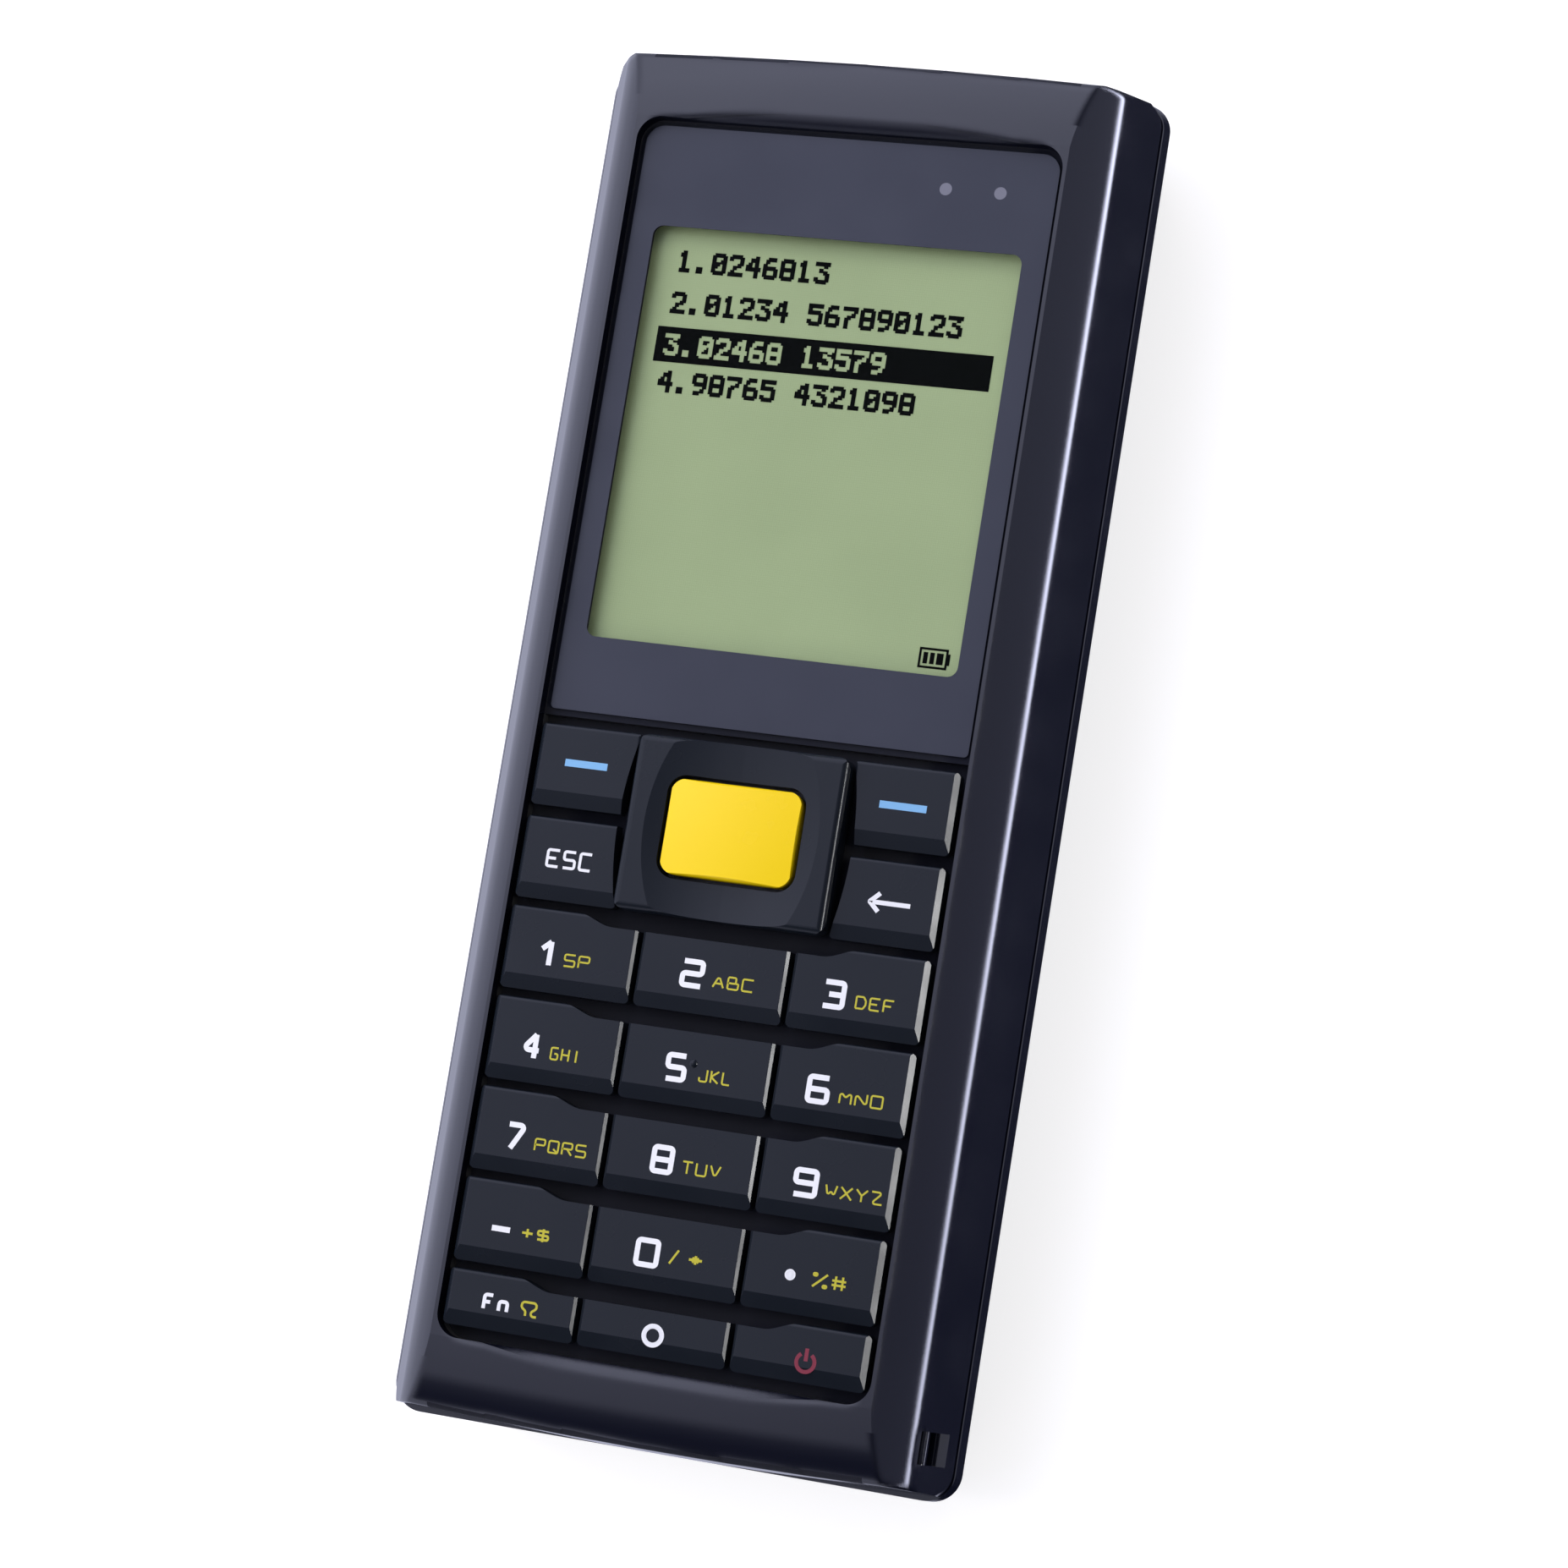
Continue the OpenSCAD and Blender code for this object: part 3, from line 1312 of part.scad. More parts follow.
module door_latch() {
    color("#5b5e66") {
        difference() {
            translate([-thumb_w / 2, thumb_low_y, door_sink]) cube([thumb_w, thumb_l, thumb_t]);
            for (i = [-1, 0, 1]) {
                translate([-thumb_w / 2 + 2 * grip_w, thumb_mid_y + (i * thumb_l / 2 - grip_w) / 2,
                           door_sink - over]) {
                    cube([thumb_w - 4 * grip_w, grip_w, grip_d + over]);
                }
            }
        }
        translate([-neck_w / 2, thumb_mid_y - neck_l / 2, door_sink + thumb_t - fine]) {
            cube([neck_w, neck_l, bolt_low_z - door_sink - thumb_t + fine]);
        }
        translate([-bolt_w / 2, thumb_mid_y - neck_l / 2 - block_lip, door_z + latch_gap]) {
            cube([bolt_w, neck_l + 1.5 * block_lip, bolt_low_z + bolt_t - door_z - latch_gap]);
        }
        translate([-bolt_w / 2, thumb_mid_y, bolt_low_z]) cube([bolt_w, bolt_tip_y - thumb_mid_y, bolt_t]);
    }
}

// ---------- keys ----------

module pad_carrier() {
    color("#6b6c72") translate([0, pad_y, stem_z]) difference() {
        rounded_plate(carrier_w, carrier_l, carrier_z - stem_z, scan_r - stem_gap);
        translate([0, 0, -over]) {
            rounded_plate(scan_stem_w + 2 * carrier_gap, scan_stem_l + 2 * carrier_gap, front_z, 0.3);
        }
    }
}

module pad_plan() {
    side_r = bow_radius(pad_l, pad_bulge);
    hw = pad_hw + pad_bulge;
    intersection() {
        rounded_rect(2 * hw, pad_l, pad_corner_r);
        for (side = [-1, 1]) {
            translate([side * (hw - side_r), 0]) circle(side_r, $fn = 360);
        }
    }
}

module direction_pad() {
    hw = pad_hw + pad_bulge;
    top = front_z + pad_rise;
    color(key_colour) difference() {
        intersection() {
            translate([0, pad_y, pad_low_z]) linear_extrude(top - pad_low_z + 1) pad_plan();
            crown(pad_y, hw, pad_l / 2 + 1, pad_low_z, top, pad_edge_r);
            side_crown(0, pad_y, hw + 1, pad_l / 2, pad_low_z, top, pad_edge_r);
        }
        translate([0, pad_y, front_z + pad_floor_rise + pad_dish_long_r]) rotate([0, 90, 0]) {
            rotate_extrude($fn = 360) translate([pad_dish_long_r - pad_dish_r, 0]) circle(pad_dish_r, $fn = 360);
        }
        translate([0, pad_y, pad_low_z - over]) {
            rounded_plate(scan_w + 2 * scan_gap, scan_l + 2 * scan_gap, front_z, scan_r + scan_gap);
        }
    }
}

module scan_key() {
    top = front_z + scan_rise;
    color("#ffd800") {
        intersection() {
            translate([0, pad_y, scan_cap_z]) rounded_plate(scan_w, scan_l, top - scan_cap_z, scan_r);
            crown(pad_y, scan_w / 2, scan_l / 2 + 1, scan_cap_z, top, scan_edge_r);
            side_crown(0, pad_y, scan_w / 2 + 1, scan_l / 2, scan_cap_z, top, scan_edge_r);
            translate([0, pad_y, top - scan_crown_r]) sphere(scan_crown_r, $fn = 180);
        }
        translate([-scan_stem_w / 2, pad_y - scan_stem_l / 2, stem_z]) {
            cube([scan_stem_w, scan_stem_l, scan_cap_z - stem_z + fine]);
        }
    }
}

module soft_left_key() color(key_colour) side_key(-1, 1);
module soft_right_key() color(key_colour) side_key(1, 1);
module escape_key() color(key_colour) side_key(-1, 0);
module back_key() color(key_colour) side_key(1, 0);
module key_1() color(key_colour) number_key(-1, 0);
module key_2() color(key_colour) number_key(0, 0);
module key_3() color(key_colour) number_key(1, 0);
module key_4() color(key_colour) number_key(-1, 1);
module key_6() color(key_colour) number_key(1, 1);
module key_7() color(key_colour) number_key(-1, 2);
module key_8() color(key_colour) number_key(0, 2);
module key_9() color(key_colour) number_key(1, 2);
module minus_key() color(key_colour) number_key(-1, 3);
module key_0() color(key_colour) number_key(0, 3);
module point_key() color(key_colour) number_key(1, 3);
module function_key() color(key_colour) number_key(-1, 4);
module enter_key() color(key_colour) number_key(0, 4);
module power_key() color(key_colour) number_key(1, 4);

// The middle key carries a small raised dot for finding it by touch
module key_5() {
    color(key_colour) {
        number_key(0, 1);
        translate([key_dot.x, row_low(1) + row_pitch / 2 + key_dot.y, key_z - key_dot_sink]) {
            sphere(key_dot_r, $fn = 24);
        }
    }
}

front_housing();
rear_housing();
housing_seal();
display_lens();
lens_gasket();
display_glass();
display_frame();
display_backlight();
display_flex();
light_pipes();
status_leds();
main_board();
board_parts();
dome_sheet();
keypad_mat();
speaker();
scan_engine();
scan_window();
battery();
battery_contacts();
charge_contacts();
backup_cell();
housing_screws();
board_screws();
pad_carrier();
direction_pad();
scan_key();
soft_left_key();
soft_right_key();
escape_key();
back_key();
key_1();
key_2();
key_3();
key_4();
key_5();
key_6();
key_7();
key_8();
key_9();
minus_key();
key_0();
point_key();
function_key();
enter_key();
power_key();
battery_door();
door_seal();
door_latch();
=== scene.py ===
import json
import math

import bpy
from mathutils import Matrix, Vector


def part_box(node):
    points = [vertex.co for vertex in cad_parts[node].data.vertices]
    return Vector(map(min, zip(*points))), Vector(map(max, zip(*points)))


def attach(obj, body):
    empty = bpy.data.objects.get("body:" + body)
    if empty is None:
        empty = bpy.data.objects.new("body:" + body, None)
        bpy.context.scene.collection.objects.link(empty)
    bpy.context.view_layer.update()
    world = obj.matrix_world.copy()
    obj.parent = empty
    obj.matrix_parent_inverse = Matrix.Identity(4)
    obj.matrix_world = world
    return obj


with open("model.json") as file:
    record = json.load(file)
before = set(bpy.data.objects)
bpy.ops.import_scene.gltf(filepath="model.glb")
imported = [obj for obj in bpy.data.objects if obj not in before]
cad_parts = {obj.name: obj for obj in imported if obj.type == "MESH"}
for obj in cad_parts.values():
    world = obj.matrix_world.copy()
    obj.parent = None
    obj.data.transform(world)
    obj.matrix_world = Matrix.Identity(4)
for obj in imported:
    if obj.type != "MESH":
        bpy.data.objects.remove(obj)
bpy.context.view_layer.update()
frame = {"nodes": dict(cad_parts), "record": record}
nodes = frame["nodes"]
node_slots = {part["node"]: part["material_slot"] for part in frame["record"]["subparts"]}

MM = 0.001

# ---------- small helpers ----------


def linear(hex_code):
    """Linear colour, with a full alpha, of an sRGB hex value such as #1a2b3c."""
    out = []
    for i in (1, 3, 5):
        c = int(hex_code[i : i + 2], 16) / 255
        out.append(c / 12.92 if c <= 0.04045 else ((c + 0.055) / 1.055) ** 2.4)
    return (*out, 1.0)


def add(tree, kind, inputs=None, **settings):
    """Adds one node with its settings, and fills its inputs with values or links."""
    node = tree.nodes.new(kind)
    for name, value in settings.items():
        setattr(node, name, value)
    for name, value in (inputs or {}).items():
        if isinstance(value, bpy.types.NodeSocket):
            tree.links.new(value, node.inputs[name])
        else:
            node.inputs[name].default_value = value
    return node


def blank(name):
    """An empty material with its output, and its tree."""
    material = bpy.data.materials.new(name)
    material.use_nodes = True
    tree = material.node_tree
    tree.nodes.clear()
    return material, tree, tree.nodes.new("ShaderNodeOutputMaterial")


def set_stops(ramp, stops):
    """Gives a colour ramp its stops: the place of each from 0 to 1, and its linear colour."""
    elements = ramp.color_ramp.elements
    for place, _ in stops[1:-1]:
        elements.new(place)
    for element, (place, colour) in zip(elements, stops):
        element.position = place
        element.color = colour


# ---------- finishes ----------

# Nearly all values of a noise lie between these
NOISE_SPAN = {"From Min": 0.35, "From Max": 0.65}

# Patches of the slow drift of colour and of the handled haze, in mm
DRIFT_SIZE = 16.0
HAZE_SIZE = 7.0
# How far the pale end of a colour's drift is lifted beyond its own tone, as a share of its shift
PALE_LIFT = 0.01


def moulded(name, hex_code, rough, haze=0.05, peel=1.2, peel_depth=0.0012, shift=0.06, sockets=None):
    """Moulded plastic or rubber: a slow drift of colour, a handled haze in the gloss and the slight
    unevenness of the tool's surface, whose bumps are peel mm across and peel_depth mm deep."""
    material, tree, out = blank(name)
    place = add(tree, "ShaderNodeTexCoord").outputs["Object"]
    patches = []
    for size, detail in ((DRIFT_SIZE, 2.0), (HAZE_SIZE, 4.0), (peel, 1.0)):
        noise = add(
            tree, "ShaderNodeTexNoise", {"Vector": place, "Scale": 1 / (size * MM), "Detail": detail}
        )
        patches.append(noise.outputs["Fac"])
    drift, smears, skin = patches
    base = linear(hex_code)
    pale = tuple(min(1.0, c * (1 + shift) + shift * PALE_LIFT) for c in base[:3]) + (1.0,)
    share = add(tree, "ShaderNodeMapRange", {"Value": drift, **NOISE_SPAN})
    colour = add(
        tree, "ShaderNodeMix", {"Factor": share.outputs["Result"], "A": base, "B": pale},
        data_type="RGBA",
    )
    gloss = add(
        tree, "ShaderNodeMapRange",
        {"Value": smears, **NOISE_SPAN, "To Min": rough, "To Max": rough + haze},
    )
    bump = add(tree, "ShaderNodeBump", {"Height": skin, "Strength": 1.0, "Distance": peel_depth * MM})
    shader = add(
        tree, "ShaderNodeBsdfPrincipled",
        {"Base Color": colour.outputs["Result"], "Roughness": gloss.outputs["Result"],
         "Normal": bump.outputs["Normal"], **(sockets or {})},
    )
    tree.links.new(shader.outputs["BSDF"], out.inputs["Surface"])
    return material


# How far the lines of a drawn or rolled metal are stretched along Y, and their depth in mm
LINE_STRETCH = 0.08
LINE_DEPTH = 0.002
# How much rougher such a metal is in its roughest lines
LINE_ROUGH = 0.15


def metal(name, hex_code, rough, brush):
    """Bare metal: brush is the spacing in mm of its drawing or rolling lines, which run along Y."""
    material, tree, out = blank(name)
    place = add(tree, "ShaderNodeTexCoord").outputs["Object"]
    stretch = add(tree, "ShaderNodeMapping", {"Vector": place, "Scale": (1.0, LINE_STRETCH, 1.0)})
    lines = add(
        tree, "ShaderNodeTexNoise",
        {"Vector": stretch.outputs["Vector"], "Scale": 1 / (brush * MM), "Detail": 3.0},
    ).outputs["Fac"]
    gloss = add(
        tree, "ShaderNodeMapRange",
        {"Value": lines, **NOISE_SPAN, "To Min": rough, "To Max": rough + LINE_ROUGH},
    )
    bump = add(tree, "ShaderNodeBump", {"Height": lines, "Strength": 0.5, "Distance": LINE_DEPTH * MM})
    shader = add(
        tree, "ShaderNodeBsdfPrincipled",
        {"Base Color": linear(hex_code), "Metallic": 1.0, "Roughness": gloss.outputs["Result"],
         "Normal": bump.outputs["Normal"]},
    )
    tree.links.new(shader.outputs["BSDF"], out.inputs["Surface"])
    return material


ACRYLIC_IOR = 1.49
# Wiped smears on the lens, in mm, and how much rougher they are
SMEAR_SIZE = 9.0
SMEAR_ROUGH = 0.05
# The coat swallows a mirror image weaker than the first share, and lets the second share of the
# strongest one through
COAT_FROM = 0.05
COAT_SHARE = 0.2


def clear_acrylic(name, hex_code, rough):
    """A clear sheet with an anti-reflection coat: the eye goes straight through, and it mirrors only
    at low angles."""
    material, tree, out = blank(name)
    place = add(tree, "ShaderNodeTexCoord").outputs["Object"]
    smears = add(
        tree, "ShaderNodeTexNoise", {"Vector": place, "Scale": 1 / (SMEAR_SIZE * MM), "Detail": 3.0}
    )
    wiped = add(
        tree, "ShaderNodeMapRange",
        {"Value": smears.outputs["Fac"], **NOISE_SPAN, "To Min": rough, "To Max": rough + SMEAR_ROUGH},
    )
    through = add(tree, "ShaderNodeBsdfTransparent", {"Color": linear(hex_code)})
    gloss = add(tree, "ShaderNodeBsdfGlossy", {"Roughness": wiped.outputs["Result"]})
    # only the outer skin mirrors: from the inside the light passes, so nothing under it goes dark
    fresnel = add(tree, "ShaderNodeFresnel", {"IOR": ACRYLIC_IOR}).outputs["Fac"]
    inside = add(tree, "ShaderNodeNewGeometry").outputs["Backfacing"]
    outer = add(tree, "ShaderNodeMath", {0: inside, 1: -1.0, 2: 1.0}, operation="MULTIPLY_ADD")
    shine = add(
        tree, "ShaderNodeMapRange",
        {"Value": fresnel, "From Min": COAT_FROM, "From Max": 1.0, "To Min": 0.0, "To Max": COAT_SHARE},
    )
    share = add(
        tree, "ShaderNodeMath", {0: shine.outputs["Result"], 1: outer.outputs[0]}, operation="MULTIPLY"
    )
    mix = add(tree, "ShaderNodeMixShader", {"Fac": share.outputs[0]})
    tree.links.new(through.outputs["BSDF"], mix.inputs[1])
    tree.links.new(gloss.outputs["BSDF"], mix.inputs[2])
    tree.links.new(mix.outputs["Shader"], out.inputs["Surface"])
    return material


# Limits on the case, in mm from its middle and its back. Its corners are blended above FACE_LOW, but
# not along the opening's long rims, which lie within RIM_OUT and CORNER_END
FACE_LOW = 17.5
RIM_OUT = 22.6
CORNER_END = 60.5
# The steps at the opening's ends lie past RIM_END. They are blended in full out to STEP_HALF, and
# beyond STEP_OUT not at all
RIM_END = 57.0
STEP_HALF = 16.5
STEP_OUT = 20.5
# The well under the keys: half its width, and its top and floor
WELL_HALF = 21.1
WELL_TOP = 21.3
WELL_LOW = 19.5
# The turn from the walls to the back, over which the polish gives way to the grain
TURN_TOP = 2.9
TURN_LOW = 2.5
# The radius over which a blended corner turns, in mm
CORNER_R = 1.1
# Spark grain is about 0.1 mm, drawn this coarse so that it shows, and its depth in mm
SPARK_SIZE = 0.35
SPARK_DEPTH = 0.03
SPARK_ROUGH = (0.42, 0.6)
WELL_ROUGH = 0.95


def polished_case(name, hex_code):
    """ABS whose walls are polished, whose back, below the turn, is spark eroded to a fine grain, and
    which is left matt in the well under the keys."""
    material = moulded(name, hex_code, 0.05, haze=0.025, sockets={"IOR": 1.53})
    tree = material.node_tree
    shader = next(n for n in tree.nodes if n.type == "BSDF_PRINCIPLED")
    ripple = next(n for n in tree.nodes if n.type == "BUMP")
    place = next(n for n in tree.nodes if n.type == "TEX_COORD").outputs["Object"]
    axes = add(tree, "ShaderNodeSeparateXYZ", {"Vector": place})
    height = axes.outputs["Z"]
    across = add(tree, "ShaderNodeMath", {0: axes.outputs["X"]}, operation="ABSOLUTE").outputs[0]
    along = add(tree, "ShaderNodeMath", {0: axes.outputs["Y"]}, operation="ABSOLUTE").outputs[0]

    # each area is 1 inside itself and 0 outside
    areas = {}
    for area, measure, side, limit in (
        ("face", height, "GREATER_THAN", FACE_LOW),
        ("past the rims", across, "GREATER_THAN", RIM_OUT),
        ("past the corners", along, "GREATER_THAN", CORNER_END),
        ("past the opening", along, "GREATER_THAN", RIM_END),
        ("below the rim", height, "LESS_THAN", WELL_TOP),
        ("above the floor", height, "GREATER_THAN", WELL_LOW),
        ("within the walls", across, "LESS_THAN", WELL_HALF),
    ):
        areas[area] = add(tree, "ShaderNodeMath", {0: measure, 1: limit * MM}, operation=side).outputs[0]
    areas["middle"] = add(
        tree, "ShaderNodeMapRange",
        {"Value": across, "From Min": STEP_HALF * MM, "From Max": STEP_OUT * MM,
         "To Min": 1.0, "To Max": 0.0},
    ).outputs["Result"]
    for area, first, second, joint in (
        ("steps", "middle", "past the opening", "MULTIPLY"),
        ("frame", "past the rims", "past the corners", "MAXIMUM"),
        ("frame and steps", "steps", "frame", "MAXIMUM"),
        ("blended", "face", "frame and steps", "MULTIPLY"),
        ("well's depth", "below the rim", "above the floor", "MULTIPLY"),
        ("well", "well's depth", "within the walls", "MULTIPLY"),
    ):
        areas[area] = add(
            tree, "ShaderNodeMath", {0: areas[first], 1: areas[second]}, operation=joint
        ).outputs[0]

    # the face's corners are blended in the tool, so its normals turn over about a millimetre
    round_normal = add(tree, "ShaderNodeBevel", {"Radius": CORNER_R * MM}, samples=8).outputs["Normal"]
    plain_normal = add(tree, "ShaderNodeNewGeometry").outputs["Normal"]
    normal = add(
        tree, "ShaderNodeMix", {"Factor": areas["blended"], "A": plain_normal, "B": round_normal},
        data_type="VECTOR",
    )
    tree.links.new(normal.outputs["Result"], ripple.inputs["Normal"])

    back = add(
        tree, "ShaderNodeMapRange",
        {"Value": height, "From Min": TURN_TOP * MM, "From Max": TURN_LOW * MM},
    ).outputs["Result"]
    grain = add(
        tree, "ShaderNodeTexNoise", {"Vector": place, "Scale": 1 / (SPARK_SIZE * MM), "Detail": 2.0}
    ).outputs["Fac"]
    low, high = SPARK_ROUGH
    back_rough = add(
        tree, "ShaderNodeMapRange", {"Value": grain, **NOISE_SPAN, "To Min": low, "To Max": high}
    )
    wall_rough = shader.inputs["Roughness"].links[0].from_socket
    rough = add(
        tree, "ShaderNodeMix", {"Factor": back, "A": wall_rough, "B": back_rough.outputs["Result"]}
    )
    matt = add(
        tree, "ShaderNodeMix", {"Factor": areas["well"], "A": rough.outputs["Result"], "B": WELL_ROUGH}
    )
    tree.links.new(matt.outputs["Result"], shader.inputs["Roughness"])
    depth = add(tree, "ShaderNodeMath", {0: grain, 1: back}, operation="MULTIPLY").outputs[0]
    bump = add(
        tree, "ShaderNodeBump",
        {"Height": depth, "Distance": SPARK_DEPTH * MM, "Normal": ripple.outputs["Normal"]},
    )
    tree.links.new(bump.outputs["Normal"], shader.inputs["Normal"])
    return material


# Dot pitch of the display in mm
PITCH = 0.214
# A gap between dots begins this far from a dot's middle, in dots, and is this much darker
DOT_HALF = 0.4
GAP_SHADE = 0.16
# Clouds in the liquid crystal, in mm, and how much darker they are
CLOUD_SIZE = 14.0
CLOUD_SHADE = 0.1


def lcd_sheet(name):
    """Reflective display glass: grey-green liquid crystal with a faint dot grid, satin polariser."""
    material, tree, out = blank(name)
    place = add(tree, "ShaderNodeTexCoord").outputs["Object"]
    dot = (PITCH * MM, PITCH * MM, 1.0)
    cells = add(tree, "ShaderNodeVectorMath", {0: place, 1: dot}, operation="DIVIDE")
    part = add(tree, "ShaderNodeVectorMath", {0: cells.outputs["Vector"]}, operation="FRACTION")
    axes = add(tree, "ShaderNodeSeparateXYZ", {"Vector": part.outputs["Vector"]})
    gaps = []
    for axis in "XY":
        off = add(tree, "ShaderNodeMath", {0: axes.outputs[axis], 1: 0.5}, operation="SUBTRACT")
        size = add(tree, "ShaderNodeMath", {0: off.outputs[0]}, operation="ABSOLUTE")
        gap = add(tree, "ShaderNodeMath", {0: size.outputs[0], 1: DOT_HALF}, operation="GREATER_THAN")
        gaps.append(gap.outputs[0])
    gap = add(tree, "ShaderNodeMath", {0: gaps[0], 1: gaps[1]}, operation="MAXIMUM").outputs[0]
    clouds = add(
        tree, "ShaderNodeTexNoise", {"Vector": place, "Scale": 1 / (CLOUD_SIZE * MM), "Detail": 2.0}
    ).outputs["Fac"]
    cloud_shade = add(
        tree, "ShaderNodeMapRange", {"Value": clouds, **NOISE_SPAN, "To Min": 0.0, "To Max": CLOUD_SHADE}
    )
    gap_shade = add(tree, "ShaderNodeMath", {0: gap, 1: GAP_SHADE}, operation="MULTIPLY")
    shade = add(
        tree, "ShaderNodeMath", {0: gap_shade.outputs[0], 1: cloud_shade.outputs["Result"]},
        operation="ADD",
    )
    ramp = add(tree, "ShaderNodeValToRGB", {"Fac": shade.outputs[0]})
    set_stops(ramp, ((0.0, linear("#b5c790")), (1.0, linear("#8a9a70"))))
    satin = add(
        tree, "ShaderNodeMapRange", {"Value": clouds, **NOISE_SPAN, "To Min": 0.4, "To Max": 0.5}
    )
    shader = add(
        tree, "ShaderNodeBsdfPrincipled",
        {"Base Color": ramp.outputs["Color"], "Roughness": satin.outputs["Result"],
         "Specular IOR Level": 0.15},
    )
    tree.links.new(shader.outputs["BSDF"], out.inputs["Surface"])
    return material


finishes = {
    # Polished ABS, navy black: a mirror skin with a slight ripple over a nearly black body
    "case_plastic": polished_case("ABS_polished_navy_black", "#0d0f1b"),
    # In-mould polycarbonate film keys: softer gloss than the case, faint orange peel
    "key_plastic": moulded("polycarbonate_key_black", "#12171e", 0.2, haze=0.08, peel=0.9,
                           peel_depth=0.0016, sockets={"Specular IOR Level": 0.25}),
    # Yellow polycarbonate: glossy, deep even colour
    "scan_plastic": moulded("polycarbonate_key_yellow", "#f7d500", 0.22, haze=0.06, peel=1.0,
                            peel_depth=0.0015, shift=0.03, sockets={"Specular IOR Level": 0.3}),
    # Cast acrylic with a hard anti-reflection coat: clear, with a faint image at low angles
    "lens_acrylic": clear_acrylic("acrylic_hard_coated_clear", "#f6f7f9", 0.03),
    # Reflective display glass: grey green, satin
    "display_glass": lcd_sheet("display_glass_grey_green"),
    # Titanium dioxide filled ABS that throws the light back: chalky white
    "white_plastic": moulded("ABS_reflector_white", "#dcdcd6", 0.5, peel=0.8, peel_depth=0.004),
    # Light guide acrylic: watery grey, polished ends
    "clear_plastic": moulded("acrylic_light_guide", "#6f7380", 0.15, peel=0.6,
                             sockets={"IOR": ACRYLIC_IOR, "Transmission Weight": 0.15}),
    # Epoxy lamp resin: warm, slightly milky
    "led_resin": moulded("epoxy_lamp_resin", "#e8e4c8", 0.25, peel=0.5),
    # Polyimide ribbon: amber, satin
    "ribbon_film": moulded("polyimide_film_amber", "#b8742a", 0.3, peel=0.7, sockets={"IOR": 1.7}),
    # Solder mask over glass cloth: the 0.5 mm weave shows as a faint ripple
    "board_laminate": moulded("solder_mask_green", "#1e5b3a", 0.28, peel=0.5, peel_depth=0.006),
    # Transfer moulded epoxy: dull, finely pitted
    "chip_plastic": moulded("moulded_epoxy_black", "#1b1b1e", 0.62, peel=0.35, peel_depth=0.008),
    # Rolled stainless spring steel: bright, with fine lines
    "dome_steel": metal("stainless_rolled", "#c9ccd0", 0.22, 0.35),
    # Silicone rubber mat: soft sheen, dusty
    "mat_rubber": moulded("silicone_rubber_grey", "#55565c", 0.62, peel=0.7, peel_depth=0.006,
                          sockets={"Sheen Weight": 0.15}),
    # Silicone cord seal: dark and dull
    "seal_rubber": moulded("silicone_seal_dark", "#303034", 0.58, peel=0.7, peel_depth=0.006,
                           sockets={"Sheen Weight": 0.1}),
    # Closed cell foam tape: open grain
    "gasket_foam": moulded("acrylic_foam_black", "#101012", 0.85, peel=0.4, peel_depth=0.03),
    # Moulded speaker body: dark grey, half matt
    "speaker_plastic": moulded("ABS_speaker_grey", "#303136", 0.5, peel=0.5, peel_depth=0.006),
    # Glass filled nylon engine housing: a faint mottle from the fibres
    "engine_plastic": moulded("nylon_glass_filled_black", "#2a2c33", 0.55, peel=0.4, peel_depth=0.01),
    # Dyed polycarbonate filter: ruby, mirror polished
    "red_window": moulded("polycarbonate_filter_ruby", "#3c0710", 0.06, haze=0.03, peel=3.0,
                          sockets={"IOR": 1.58, "Transmission Weight": 0.35}),
    # Shrink sleeve round the cell: grey, tight and slightly wavy
    "battery_shell": moulded("shrink_sleeve_grey", "#3c4048", 0.38, peel=1.5, peel_depth=0.006),
    # Gold flash over nickel: warm and bright
    "gold_contact": metal("gold_flash", "#d8b04a", 0.2, 0.3),
    # Nickel plate: bright, slightly warm
    "cell_steel": metal("nickel_plate", "#c4c7cb", 0.24, 0.4),
    # Zinc plate with a bright passivation: grey, half bright
    "screw_steel": metal("zinc_plate", "#8b8e94", 0.3, 0.3),
    # Grey ABS with a fine moulded grain on its grip
    "latch_plastic": moulded("ABS_latch_grey", "#4a4d55", 0.42, peel=0.4, peel_depth=0.02),
}
for node_name, obj in nodes.items():
    obj.data.materials.clear()
    obj.data.materials.append(finishes[node_slots[node_name]])

# Screen print on the acrylic's underside: dense blue-black ink with a satin gloss
print_black = moulded("screen_print_black", "#272a37", 0.3, haze=0.08, peel=4.0, peel_depth=0.0001)
# Translucent print over the lamps: smoky grey
print_lamp = moulded("screen_print_lamp_grey", "#787984", 0.4, haze=0.08, peel=1.0, peel_depth=0.0002)
# Switched-on liquid crystal dots: nearly black with a green cast
lcd_dot = moulded("liquid_crystal_dark", "#050704", 0.45, peel=0.4, sockets={"Specular IOR Level": 0.05})
# Pad-printed key legends: thin matt ink that stands a little proud
white, yellow, blue, red = (
    moulded("pad_print_" + name, hex_code, 0.45, haze=0.12, peel=0.3, peel_depth=0.004)
    for name, hex_code in (("white", "#e9ecef"), ("yellow", "#b9b226"), ("blue", "#78b0dc"),
                           ("red", "#7a1d33"))
)


# ---------- drawn pieces ----------


def piece(name, mesh, body):
    """Puts a finished mesh in the scene as a piece that rides on a body."""
    mesh.name = name
    obj = bpy.data.objects.new(name, mesh)
    bpy.context.scene.collection.objects.link(obj)
    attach(obj, body)


def plain_mesh(obj):
    """The plain mesh of an object's final shape. The object itself is taken away."""
    bpy.context.scene.collection.objects.link(obj)
    seen = obj.evaluated_get(bpy.context.evaluated_depsgraph_get())
    mesh = bpy.data.meshes.new_from_object(seen)
    bpy.data.objects.remove(obj)
    return mesh


